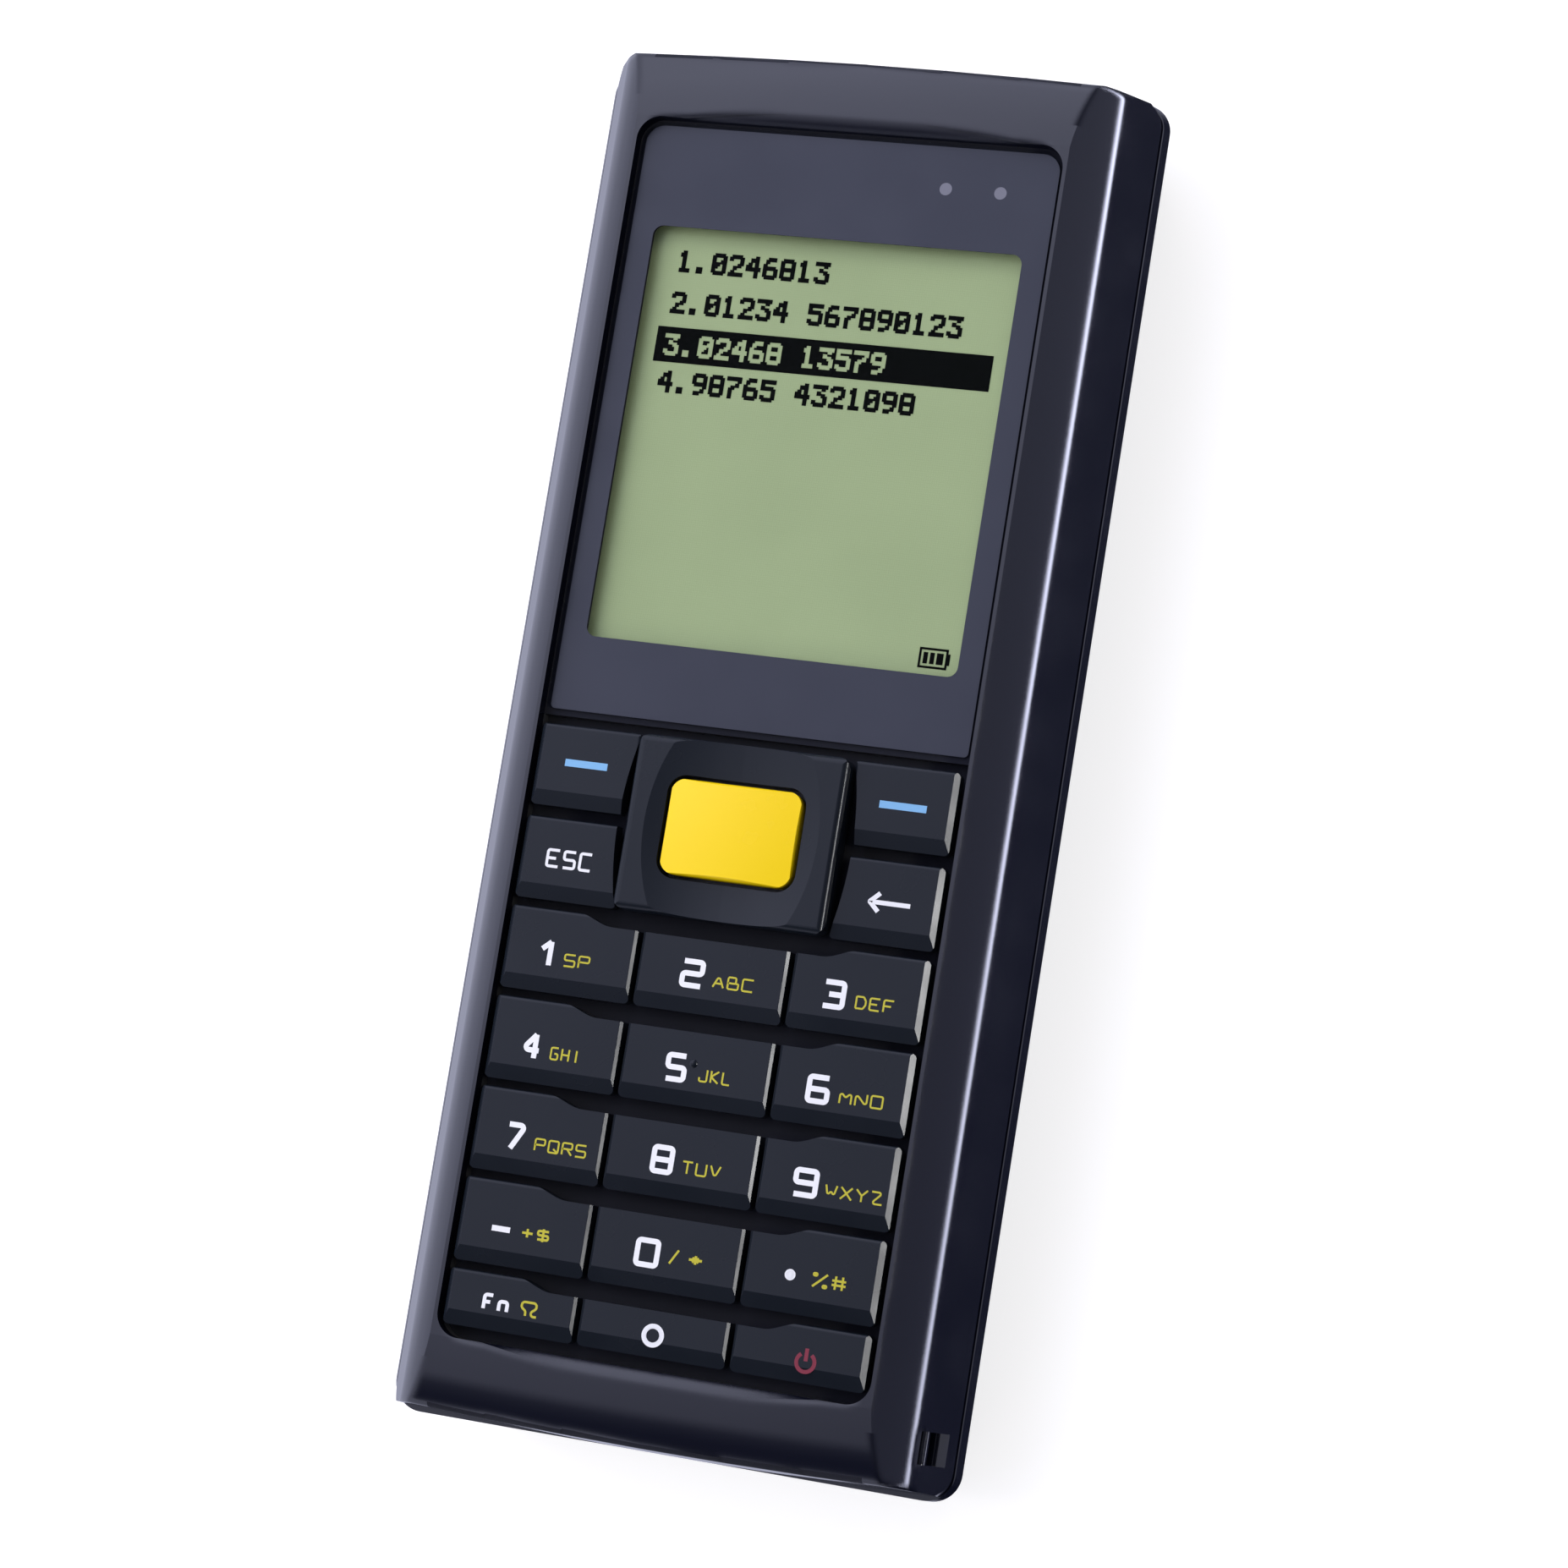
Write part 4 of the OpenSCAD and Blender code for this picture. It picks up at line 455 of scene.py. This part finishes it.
def grown(name, seed_mesh, tree, values):
    """The plain mesh that a Geometry Nodes tree makes from a seed mesh and its input values."""
    seed = bpy.data.objects.new(name + "_seed", seed_mesh)
    modifier = seed.modifiers.new("grow", "NODES")
    modifier.node_group = tree
    for item in tree.interface.items_tree:
        if item.item_type == "SOCKET" and item.in_out == "INPUT" and item.name in values:
            modifier[item.identifier] = values[item.name]
    return plain_mesh(seed)


def new_tree(name, sizes):
    """An empty geometry tree with a Geometry input, the named sizes, a Material and its two ends."""
    tree = bpy.data.node_groups.new(name, "GeometryNodeTree")
    tree.interface.new_socket("Geometry", in_out="INPUT", socket_type="NodeSocketGeometry")
    tree.interface.new_socket("Geometry", in_out="OUTPUT", socket_type="NodeSocketGeometry")
    for size in sizes:
        tree.interface.new_socket(size, in_out="INPUT", socket_type="NodeSocketFloat")
    tree.interface.new_socket("Material", in_out="INPUT", socket_type="NodeSocketMaterial")
    return tree, tree.nodes.new("NodeGroupInput"), tree.nodes.new("NodeGroupOutput")


def end_tree(tree, start, end, geometry):
    """Ends a geometry tree with real faces of its Material."""
    real = add(tree, "GeometryNodeRealizeInstances", {"Geometry": geometry})
    done = add(
        tree, "GeometryNodeSetMaterial",
        {"Geometry": real.outputs["Geometry"], "Material": start.outputs["Material"]},
    )
    tree.links.new(done.outputs["Geometry"], end.inputs["Geometry"])
    return tree


def stroke_tree():
    """Lays a flat printed stroke along every line of the seed, with rounded turns."""
    tree, start, end = new_tree("legend_strokes", ("Stroke Width", "Stroke Height", "Turn Radius"))
    lines = add(tree, "GeometryNodeMeshToCurve", {"Mesh": start.outputs["Geometry"]})
    turned = add(
        tree, "GeometryNodeFilletCurve",
        {"Curve": lines.outputs["Curve"], "Radius": start.outputs["Turn Radius"], "Limit Radius": True,
         "Count": 5},
        mode="POLY",
    )
    upright = add(tree, "GeometryNodeSetCurveNormal", {"Curve": turned.outputs["Curve"]}, mode="Z_UP")
    section = add(
        tree, "GeometryNodeCurvePrimitiveQuadrilateral",
        {"Width": start.outputs["Stroke Width"], "Height": start.outputs["Stroke Height"]},
    )
    inked = add(
        tree, "GeometryNodeCurveToMesh",
        {"Curve": upright.outputs["Curve"], "Profile Curve": section.outputs["Curve"], "Fill Caps": True},
    )
    flat_faces = add(
        tree, "GeometryNodeSetShadeSmooth", {"Geometry": inked.outputs["Mesh"], "Shade Smooth": False}
    )
    return end_tree(tree, start, end, flat_faces.outputs["Geometry"])


def dot_tree():
    """Sets a thin square dot on every point of the seed."""
    tree, start, end = new_tree("display_dots", ("Dot Size", "Dot Height"))
    box = add(
        tree, "ShaderNodeCombineXYZ",
        {"X": start.outputs["Dot Size"], "Y": start.outputs["Dot Size"], "Z": start.outputs["Dot Height"]},
    )
    dot = add(tree, "GeometryNodeMeshCube", {"Size": box.outputs["Vector"]})
    points = add(tree, "GeometryNodeMeshToPoints", {"Mesh": start.outputs["Geometry"]})
    laid = add(
        tree, "GeometryNodeInstanceOnPoints",
        {"Points": points.outputs["Points"], "Instance": dot.outputs["Mesh"]},
    )
    return end_tree(tree, start, end, laid.outputs["Instances"])


# ---------- key legends ----------

# Strokes of each sign on a grid GRID_W wide and GRID_H high: x and y digits in turn, a space between
# strokes
GRID_W = 4
GRID_H = 6
SIGNS = {
    "0": "0040460600", "1": "0436 3630", "2": "064643030040", "3": "06464000 1343", "4": "360242 3630",
    "5": "460603434000", "6": "460600404313 0323", "7": "064610", "8": "0040460600 0343",
    "9": "004046060333 2343", "A": "002640 1232", "B": "03333606004043 3343", "C": "46060040",
    "D": "003042443606 0600", "E": "46060040 0333", "F": "460600 0333", "G": "460600404323",
    "H": "0600 4640 0343", "I": "2620", "J": "46400002", "K": "0600 460340", "L": "060040",
    "M": "0006234640", "N": "00064046", "O": "0040460600", "P": "0006464303", "Q": "0040460600 2240",
    "R": "0006464303 2340", "S": "460603434000", "T": "0646 2620", "U": "06004046", "V": "062046",
    "W": "0610243046", "X": "0640 4600", "Y": "062346 2320", "Z": "06460040", "n": "00044440",
    "+": "0343 2125", "$": "450503434101 2026", "/": "0046", "%": "0046 0506161505 3040413130",
    "#": "1016 3036 0242 0444", "*": "2125 0343 1234 1432",
}
# The height of a stroke of ink, and how far each stroke of a sign lies above the one before it, in mm
INK = 0.03
LAYER = 0.004
# The gap between two signs of a word, in strokes
SIGN_GAP = 1.35
# The flat tops of all printed keys lie at one height, in mm. key_5 has a pip above its own
KEY_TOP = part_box("key_1")[1].z / MM
STROKES = stroke_tree()


def sign_lines(sign, x, y, w, h):
    """The points and lines of one sign in the box from (x, y), w by h, in mm. Each stroke lies a
    hair above the one before it, so that no two share a face."""
    points, lines = [], []
    for layer, stroke in enumerate(SIGNS[sign].split()):
        run = [(int(stroke[i]), int(stroke[i + 1])) for i in range(0, len(stroke), 2)]
        first = len(points)
        closed = run[0] == run[-1]
        if closed:
            run.pop()
        points += [(x + px * w / GRID_W, y + py * h / GRID_H, layer * LAYER) for px, py in run]
        lines += [(first + i, first + i + 1) for i in range(len(run) - 1)]
        if closed:
            lines.append((len(points) - 1, first))
    return points, lines


def word(text, x0, x1, y, h, stroke):
    """Signs of equal width, set from x0 to x1 on the line y, all in mm and inside their ink."""
    gap = SIGN_GAP * stroke
    w = (x1 - x0 - gap * (len(text) - 1)) / len(text)
    left = x0 + stroke / 2
    return [
        sign_lines(sign, left + i * (w + gap), y + stroke / 2, w - stroke, h - stroke)
        for i, sign in enumerate(text)
    ]


def ring(x, y, r, steps=28, start=0.0, turn=360.0):
    """Points and lines of a circle or an arc, in mm and degrees."""
    whole = turn >= 360.0
    count = steps if whole else steps + 1
    points = []
    for i in range(count):
        a = math.radians(start + turn * i / steps)
        points.append((x + r * math.cos(a), y + r * math.sin(a), 0.0))
    lines = [(i, i + 1) for i in range(count - 1)]
    if whole:
        lines.append((count - 1, 0))
    return points, lines


def bar(*places, up=0.0):
    """Points and lines of one open stroke through the places, in mm, up above the first layer."""
    return [(x, y, up) for x, y in places], [(i, i + 1) for i in range(len(places) - 1)]


def legend(name, key, parts, stroke, turn, ink):
    """One legend printed on a key's top: parts are points and lines in mm, drawn as strokes of ink
    that are stroke mm wide and turn their corners at a radius of turn mm."""
    all_points, all_lines = [], []
    for points, lines in parts:
        first = len(all_points)
        all_points += points
        all_lines += [(a + first, b + first) for a, b in lines]
    seed = bpy.data.meshes.new(name + "_lines")
    seed.from_pydata([(x * MM, y * MM, (KEY_TOP + up) * MM) for x, y, up in all_points], all_lines, [])
    values = {
        "Stroke Width": stroke * MM, "Stroke Height": INK * MM, "Turn Radius": turn * MM,
        "Material": ink,
    }
    piece(name, grown(name, seed, STROKES, values), key)


# The height, stroke and turns of the number keys' digits and letters, and how far the letters stand
# above the digit's line, in mm
DIGIT_H = 2.7
DIGIT_STROKE = 0.5
DIGIT_TURN = 0.28
LETTER_H = 1.25
LETTER_STROKE = 0.17
LETTER_TURN = 0.16
LETTER_UP = 0.32
# Digit, letters, the digit's line, and the left and right ends of the digit and of the letters, in mm
NUMBER_KEYS = (
    ("1", "SP", -23.5, (-16.9, -15.3), (-14.4, -11.8)),
    ("2", "ABC", -23.5, (-2.95, -0.6), (0.25, 4.25)),
    ("3", "DEF", -23.6, (10.75, 13.05), (14.0, 17.7)),
    ("4", "GHI", -32.2, (-17.2, -15.1), (-14.2, -11.2)),
    ("5", "JKL", -32.2, (-2.95, -0.8), (0.4, 3.5)),
    ("6", "MNO", -32.3, (10.7, 13.0), (13.9, 18.1)),
    ("7", "PQRS", -40.7, (-17.2, -15.1), (-14.25, -9.1)),
    ("8", "TUV", -40.7, (-2.85, -0.6), (0.2, 4.0)),
    ("9", "WXYZ", -40.8, (10.85, 13.3), (13.95, 19.5)),
    ("0", "", -49.25, (-2.95, -0.5), ()),
)
for digit, letters, line, digit_ends, letter_ends in NUMBER_KEYS:
    key = "key_" + digit
    parts = word(digit, *digit_ends, line, DIGIT_H, DIGIT_STROKE)
    legend(key + "_digit", key, parts, DIGIT_STROKE, DIGIT_TURN, white)
    if letters:
        parts = word(letters, *letter_ends, line + LETTER_UP, LETTER_H, LETTER_STROKE)
        legend(key + "_letters", key, parts, LETTER_STROKE, LETTER_TURN, yellow)

light_bulb = bar(
    (-12.4, -55.35), (-12.4, -54.95), (-12.85, -54.6), (-12.85, -54.1), (-11.4, -54.1),
    (-11.4, -54.6), (-11.85, -54.95), (-11.85, -55.35), (-11.3, -55.35),
)
# Name, key, parts, stroke and radius of the turns in mm, and ink of each other legend
LEGENDS = (
    ("minus_key_sign", "minus_key", [bar((-17.0, -47.9), (-15.2, -47.9))], 0.52, 0.1, white),
    ("minus_key_marks", "minus_key", word("+$", -14.1, -11.3, -48.6, 1.4, 0.22), 0.22, 0.16, yellow),
    ("key_0_slash", "key_0", word("/", 0.4, 1.35, -48.65, 1.5, 0.2), 0.2, 0.1, yellow),
    ("key_0_star", "key_0", word("*", 2.2, 3.7, -48.6, 1.4, 0.24), 0.24, 0.05, yellow),
    ("point_key_sign", "point_key",
     [ring(12.0, -47.8, 0.26, 16), bar((11.85, -47.8), (12.15, -47.8), up=LAYER)], 0.5, 0.05, white),
    ("point_key_marks", "point_key", word("%#", 14.1, 17.4, -48.6, 1.4, 0.2), 0.2, 0.1, yellow),
    ("function_key_word", "function_key", word("Fn", -16.7, -14.1, -55.45, 1.6, 0.3), 0.34, 0.25, white),
    ("function_key_lamp", "function_key", [light_bulb], 0.22, 0.3, yellow),
    ("enter_key_ring", "enter_key", [ring(0.08, -55.2, 0.85)], 0.45, 0.05, white),
    ("power_key_sign", "power_key",
     [ring(14.7, -55.3, 0.85, 24, 125.0, 290.0), bar((14.7, -55.2), (14.7, -54.05), up=LAYER)],
     0.36, 0.05, red),
    ("escape_key_word", "escape_key",
     word("E", -17.8, -16.4, -14.2, 1.8, 0.27) + word("S", -16.15, -14.8, -14.2, 1.8, 0.27)
     + word("C", -14.55, -13.2, -14.2, 1.8, 0.27), 0.27, 0.2, white),
    ("back_key_arrow", "back_key",
     [bar((14.0, -13.4), (17.7, -13.4)),
      bar((14.75, -12.55), (13.85, -13.4), (14.75, -14.25), up=LAYER)], 0.42, 0.05, white),
    ("soft_left_key_dash", "soft_left_key", [bar((-17.5, -4.25), (-13.3, -4.25))], 0.68, 0.1, blue),
    ("soft_right_key_dash", "soft_right_key", [bar((13.3, -4.45), (17.8, -4.45))], 0.68, 0.1, blue),
)
for settings in LEGENDS:
    legend(*settings)


# ---------- lens print ----------


def round_box(x, y, w, l, radii, steps=8):
    """Corner points in mm of a rectangle with rounded corners, whose middle is at (x, y). The radii
    begin at the head's right corner and go round by way of its left one."""
    points = []
    for (sx, sy, first), r in zip(((1, 1, 0), (-1, 1, 90), (-1, -1, 180), (1, -1, 270)), radii):
        for i in range(steps + 1):
            a = math.radians(first + 90 * i / steps)
            points.append((x + sx * (w / 2 - r) + r * math.cos(a), y + sy * (l / 2 - r) + r * math.sin(a)))
    return points


def disc(x, y):
    """Points in mm round a lamp's disc."""
    return [point[:2] for point in ring(x, y, LAMP_R, 32)[0]]


def sheet(name, outlines, z, thick, material):
    """A thin flat sheet with its underside at z: the outlines in mm are filled between, as a solid."""
    curve = bpy.data.curves.new(name, "CURVE")
    curve.dimensions = "2D"
    curve.fill_mode = "BOTH"
    curve.extrude = thick * MM / 2
    for outline in outlines:
        spline = curve.splines.new("POLY")
        spline.points.add(len(outline) - 1)
        for point, (px, py) in zip(spline.points, outline):
            point.co = (px * MM, py * MM, 0.0, 1.0)
        spline.use_cyclic_u = True
    mesh = plain_mesh(bpy.data.objects.new(name, curve))
    mesh.transform(Matrix.Translation((0, 0, (z + thick / 2) * MM)))
    mesh.materials.clear()
    mesh.materials.append(material)
    piece(name, mesh, "case")


# The window in the print, from the lens's sides, head and foot, and the radius of its corners, in mm
WINDOW_SIDE = 2.3
WINDOW_HEAD = 9.8
WINDOW_FOOT = 7.25
WINDOW_R = 1.0
# Centres of the two lamps' discs, and their radius, in mm
LAMPS = ((9.8, 53.8), (15.1, 53.8))
LAMP_R = 0.6
# The print's distance from the lens's edge, and its corners at the head and at the foot, in mm
PRINT_INSET = 0.05
PRINT_HEAD_R = 1.75
PRINT_FOOT_R = 0.45
# Height over the lens's underside, and thickness, of the print and of the discs within it, in mm
PRINT_UP, PRINT_THICK = 0.01, 0.02
DISC_UP, DISC_THICK = 0.012, 0.014

lens_low, lens_high = (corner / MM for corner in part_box("display_lens"))
lens_w = lens_high.x - lens_low.x
lens_l = lens_high.y - lens_low.y
print_outline = round_box(
    0, (lens_low.y + lens_high.y) / 2, lens_w - 2 * PRINT_INSET, lens_l - 2 * PRINT_INSET,
    (PRINT_HEAD_R, PRINT_HEAD_R, PRINT_FOOT_R, PRINT_FOOT_R),
)
window_outline = round_box(
    0, (lens_low.y + WINDOW_FOOT + lens_high.y - WINDOW_HEAD) / 2, lens_w - 2 * WINDOW_SIDE,
    lens_l - WINDOW_HEAD - WINDOW_FOOT, (WINDOW_R,) * 4,
)
lamp_outlines = [disc(x, y) for x, y in LAMPS]
sheet("lens_print", [print_outline, window_outline] + lamp_outlines, lens_low.z + PRINT_UP, PRINT_THICK,
      print_black)
for number, outline in enumerate(lamp_outlines):
    sheet(f"lamp_dot_{number}", [outline], lens_low.z + DISC_UP, DISC_THICK, print_lamp)


# ---------- display ----------

# Rows of each display sign from the top down, two hex digits each, with a bit for each dot
SIGN_ROWS = 7
SIGN_COLUMNS = 5
DOT_SIGNS = {
    "0": "0E11131519110E", "1": "040C040404040E", "2": "0E11010204081F", "3": "1F02040201110E",
    "4": "02060A121F0202", "5": "1F101E0101110E", "6": "0608101E11110E", "7": "1F010204080808",
    "8": "0E11110E11110E", "9": "0E11110F01020C", ".": "00000000000C0C", " ": "00000000000000",
}
# Where the two dot wide strokes of each column and row of a sign begin, and the dots from one sign
# to the next
COLUMN_AT = (0, 1, 2, 4, 5)
ROW_AT = (0, 1, 3, 4, 5, 7, 8)
ADVANCE = 8
# The lines of text with their tops, and their common left end, in mm
LINES = (
    ("1.0246813", 46.05), ("2.01234 567890123", 42.0), ("3.02468 13579", 37.9),
    ("4.98765 4321098", 34.3),
)
TEXT_X = -15.6
# The line that is chosen shows pale on a dark bar: its number from 0, and the bar's columns and rows
CHOSEN_LINE = 2
BAR_COLUMNS = range(-4, 151)
BAR_ROWS = range(-3, 13)
# The battery sign: its corner in mm, the columns and rows of its shell, its three bars and the rows
# of its bars and nub, in dots
BATTERY_X, BATTERY_TOP = 14.1, 10.7
SHELL_COLUMNS, SHELL_ROWS = 13, 9
BARS_AT = (2, 3, 5, 6, 8, 9, 10)
INNER_ROWS = range(2, 7)
# The height of a dot and of its middle over the glass, in mm
DOT_HEIGHT = 0.03
DOT_UP = 0.01


def text_cells(text):
    """Columns and rows of the dots that a line of display signs switches on."""
    cells = set()
    for i, sign in enumerate(text):
        for r in range(SIGN_ROWS):
            bits = int(DOT_SIGNS[sign][2 * r : 2 * r + 2], 16)
            for c in range(SIGN_COLUMNS):
                if bits >> (SIGN_COLUMNS - 1 - c) & 1:
                    column = ADVANCE * i + COLUMN_AT[c]
                    cells |= {(column + a, ROW_AT[r] + b) for a in (0, 1) for b in (0, 1)}
    return cells


def battery_cells():
    """Columns and rows of the battery sign: a shell, bars in it, and a nub at its right end."""
    cells = []
    for c in range(SHELL_COLUMNS + 1):
        for r in range(SHELL_ROWS):
            shell = c < SHELL_COLUMNS and (c in (0, SHELL_COLUMNS - 1) or r in (0, SHELL_ROWS - 1))
            inner = r in INNER_ROWS and (c in BARS_AT or c == SHELL_COLUMNS)
            if shell or inner:
                cells.append((c, r))
    return cells


def display_dots():
    """All dots of the display that are switched on, as one piece."""
    groups = []
    for number, (text, top) in enumerate(LINES):
        cells = text_cells(text)
        if number == CHOSEN_LINE:
            cells = {(c, r) for c in BAR_COLUMNS for r in BAR_ROWS} - cells
        groups.append((TEXT_X, top, sorted(cells)))
    groups.append((BATTERY_X, BATTERY_TOP, battery_cells()))
    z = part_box("display_glass")[1].z + DOT_UP * MM
    places = []
    for x, top, cells in groups:
        places += [((x + c * PITCH) * MM, (top - r * PITCH) * MM, z) for c, r in cells]
    seed = bpy.data.meshes.new("dots")
    seed.from_pydata(places, [], [])
    values = {"Dot Size": PITCH * MM, "Dot Height": DOT_HEIGHT * MM, "Material": lcd_dot}
    piece("display_dots", grown("display_dots", seed, dot_tree(), values), "case")


display_dots()

# ---------- camera, light and floor ----------

scene = bpy.context.scene
scene.view_settings.view_transform = "Standard"

# The camera's azimuth, elevation and roll in degrees, its place in metres, and its lens and sensor
# width in mm
CAMERA_ANGLES = (69.1, 71.1, -60.9)
CAMERA_PLACE = (0.1215, -0.0486, 0.3903)
CAMERA_LENS = 97.15
SENSOR_W = 36.0


def camera():
    """The camera, turned by its azimuth and elevation, and then rolled about its own line of sight."""
    azimuth, elevation, roll = (math.radians(angle) for angle in CAMERA_ANGLES)
    back = Vector((math.sin(azimuth) * math.cos(elevation), -math.cos(azimuth) * math.cos(elevation),
                   math.sin(elevation)))
    level = Vector((math.cos(azimuth), math.sin(azimuth), 0.0))
    above = back.cross(level)
    right = level * math.cos(roll) + above * math.sin(roll)
    up = back.cross(right)
    data = bpy.data.cameras.new("camera")
    data.sensor_width = SENSOR_W
    data.lens = CAMERA_LENS
    data.clip_start = 0.01
    data.clip_end = 20.0
    obj = bpy.data.objects.new("camera", data)
    turn = Matrix((right, up, back)).transposed().to_4x4()
    obj.matrix_world = Matrix.Translation(CAMERA_PLACE) @ turn
    scene.collection.objects.link(obj)
    scene.camera = obj


# The walls that the gloss mirrors. Round the terminal's length: degrees from straight up, positive to
# the right, and the brightness there. The right side is dim, with a bright slit low down that draws
# the line along the ridge
WALLS = (
    (-180, 0.4), (-105, 0.8), (-85, 1.1), (-50, 1.4), (-28, 1.75), (-18, 1.45), (-8, 0.85), (2, 0.4),
    (18, 0.2), (45, 0.15), (60, 0.45), (99, 0.45), (102, 0.6), (103, 14.0), (105, 20.0), (107, 14.0),
    (107.8, 0.08), (125, 0.05), (180, 0.4),
)
WALL_TINT = (0.9, 0.93, 1.2)
# From foot to head: the sine of the angle towards the head, and the share of light there
SHARES = (
    (-1.0, 0.6), (-0.75, 0.1), (-0.56, 0.03), (-0.5, 0.12), (-0.43, 0.5), (-0.1, 0.65), (0.0, 0.75),
    (0.1, 0.95), (0.26, 1.25), (1.0, 1.25),
)
# Left of the first angle, in degrees, the walls are even from foot to head, and right of the second
# they follow the shares
EVEN_TO = -60
SHARED_FROM = -45


def studio_world():
    """A studio of plain soft walls."""
    world = bpy.data.worlds.new("studio")
    world.use_nodes = True
    tree = world.node_tree
    tree.nodes.clear()
    out = tree.nodes.new("ShaderNodeOutputWorld")
    heading = add(tree, "ShaderNodeTexCoord").outputs["Generated"]
    axes = add(tree, "ShaderNodeSeparateXYZ", {"Vector": heading})
    angle = add(
        tree, "ShaderNodeMath", {0: axes.outputs["X"], 1: axes.outputs["Z"]}, operation="ARCTAN2"
    ).outputs[0]
    around = add(tree, "ShaderNodeMapRange", {"Value": angle, "From Min": -math.pi, "From Max": math.pi})
    walls = add(tree, "ShaderNodeValToRGB", {"Fac": around.outputs["Result"]})
    # a ramp holds no more than 1, so its stops are shares of the brightest
    brightest = max(level for _, level in WALLS)
    set_stops(walls, [
        ((degrees + 180) / 360, (*(level * tint / brightest for tint in WALL_TINT), 1.0))
        for degrees, level in WALLS
    ])
    length = add(
        tree, "ShaderNodeMapRange", {"Value": axes.outputs["Y"], "From Min": -1.0, "From Max": 1.0}
    )
    shares = add(tree, "ShaderNodeValToRGB", {"Fac": length.outputs["Result"]})
    fullest = max(share for _, share in SHARES)
    set_stops(shares, [((sine + 1) / 2, (*[share / fullest] * 3, 1.0)) for sine, share in SHARES])
    shared = add(
        tree, "ShaderNodeMapRange",
        {"Value": angle, "From Min": math.radians(EVEN_TO), "From Max": math.radians(SHARED_FROM)},
    )
    share = add(
        tree, "ShaderNodeMix",
        {"Factor": shared.outputs["Result"], "A": 1 / fullest, "B": shares.outputs["Color"]},
    )
    strength = add(
        tree, "ShaderNodeMath", {0: share.outputs["Result"], 1: brightest * fullest}, operation="MULTIPLY"
    )
    light = add(
        tree, "ShaderNodeBackground", {"Color": walls.outputs["Color"], "Strength": strength.outputs[0]}
    )
    tree.links.new(light.outputs["Background"], out.inputs["Surface"])
    scene.world = world


# Half the floor's side in metres, and how far it lies under the terminal in mm
FLOOR_HALF = 6.0
FLOOR_DROP = 0.1


def floor():
    """A plain pale sweep that the terminal lies on."""
    mesh = bpy.data.meshes.new("floor")
    corners = [(sx * FLOOR_HALF, sy * FLOOR_HALF, -FLOOR_DROP * MM)
               for sx, sy in ((-1, -1), (1, -1), (1, 1), (-1, 1))]
    mesh.from_pydata(corners, [], [(0, 1, 2, 3)])
    # Matt white sweep, lit a little from within so that it stays pale to its edges
    material, tree, out = blank("matt_white_sweep")
    shader = add(
        tree, "ShaderNodeBsdfPrincipled",
        {"Base Color": linear("#bcbcbc"), "Roughness": 0.8, "Specular IOR Level": 0.1,
         "Emission Color": linear("#ffffff"), "Emission Strength": 0.75},
    )
    tree.links.new(shader.outputs["BSDF"], out.inputs["Surface"])
    mesh.materials.append(material)
    obj = bpy.data.objects.new("floor", mesh)
    obj.visible_glossy = False
    obj.visible_shadow = False
    scene.collection.objects.link(obj)


def softbox(name, place, aim, width, height, power, colour):
    """A soft rectangular light at place, turned to aim, unseen by the camera and by the gloss."""
    data = bpy.data.lights.new(name, "AREA")
    data.shape = "RECTANGLE"
    data.size = width
    data.size_y = height
    data.energy = power
    data.color = linear(colour)[:3]
    obj = bpy.data.objects.new(name, data)
    obj.location = place
    obj.rotation_euler = (Vector(aim) - Vector(place)).to_track_quat("-Z", "Y").to_euler()
    obj.visible_camera = False
    obj.visible_glossy = False
    scene.collection.objects.link(obj)
    return obj


WARM_WHITE = "#fff4e6"
# Name, place, width and height in metres, and power in watts, of the lights turned to the middle
SOFTBOXES = (
    ("left_box", (-0.55, 0.05, 0.45), 0.5, 0.7, 2.6),
    ("head_box", (0.1, 0.7, 0.55), 0.7, 0.4, 1.8),
    ("foot_box", (0.1, -0.7, 0.55), 0.7, 0.4, 1.0),
)

camera()
studio_world()
floor()
for name, place, width, height, power in SOFTBOXES:
    softbox(name, place, (0, 0, 0), width, height, power, WARM_WHITE)
# A tube seen only in the gloss: it draws the bright lines along the right bevels of the keys,
# and reaches every surface alike
tube = softbox("key_tube", (0.449, 0.006, 0.28), (0.02, 0.006, 0.023), 0.15, 0.06, 1.17, "#ffffff")
tube.visible_glossy = True
tube.visible_diffuse = False
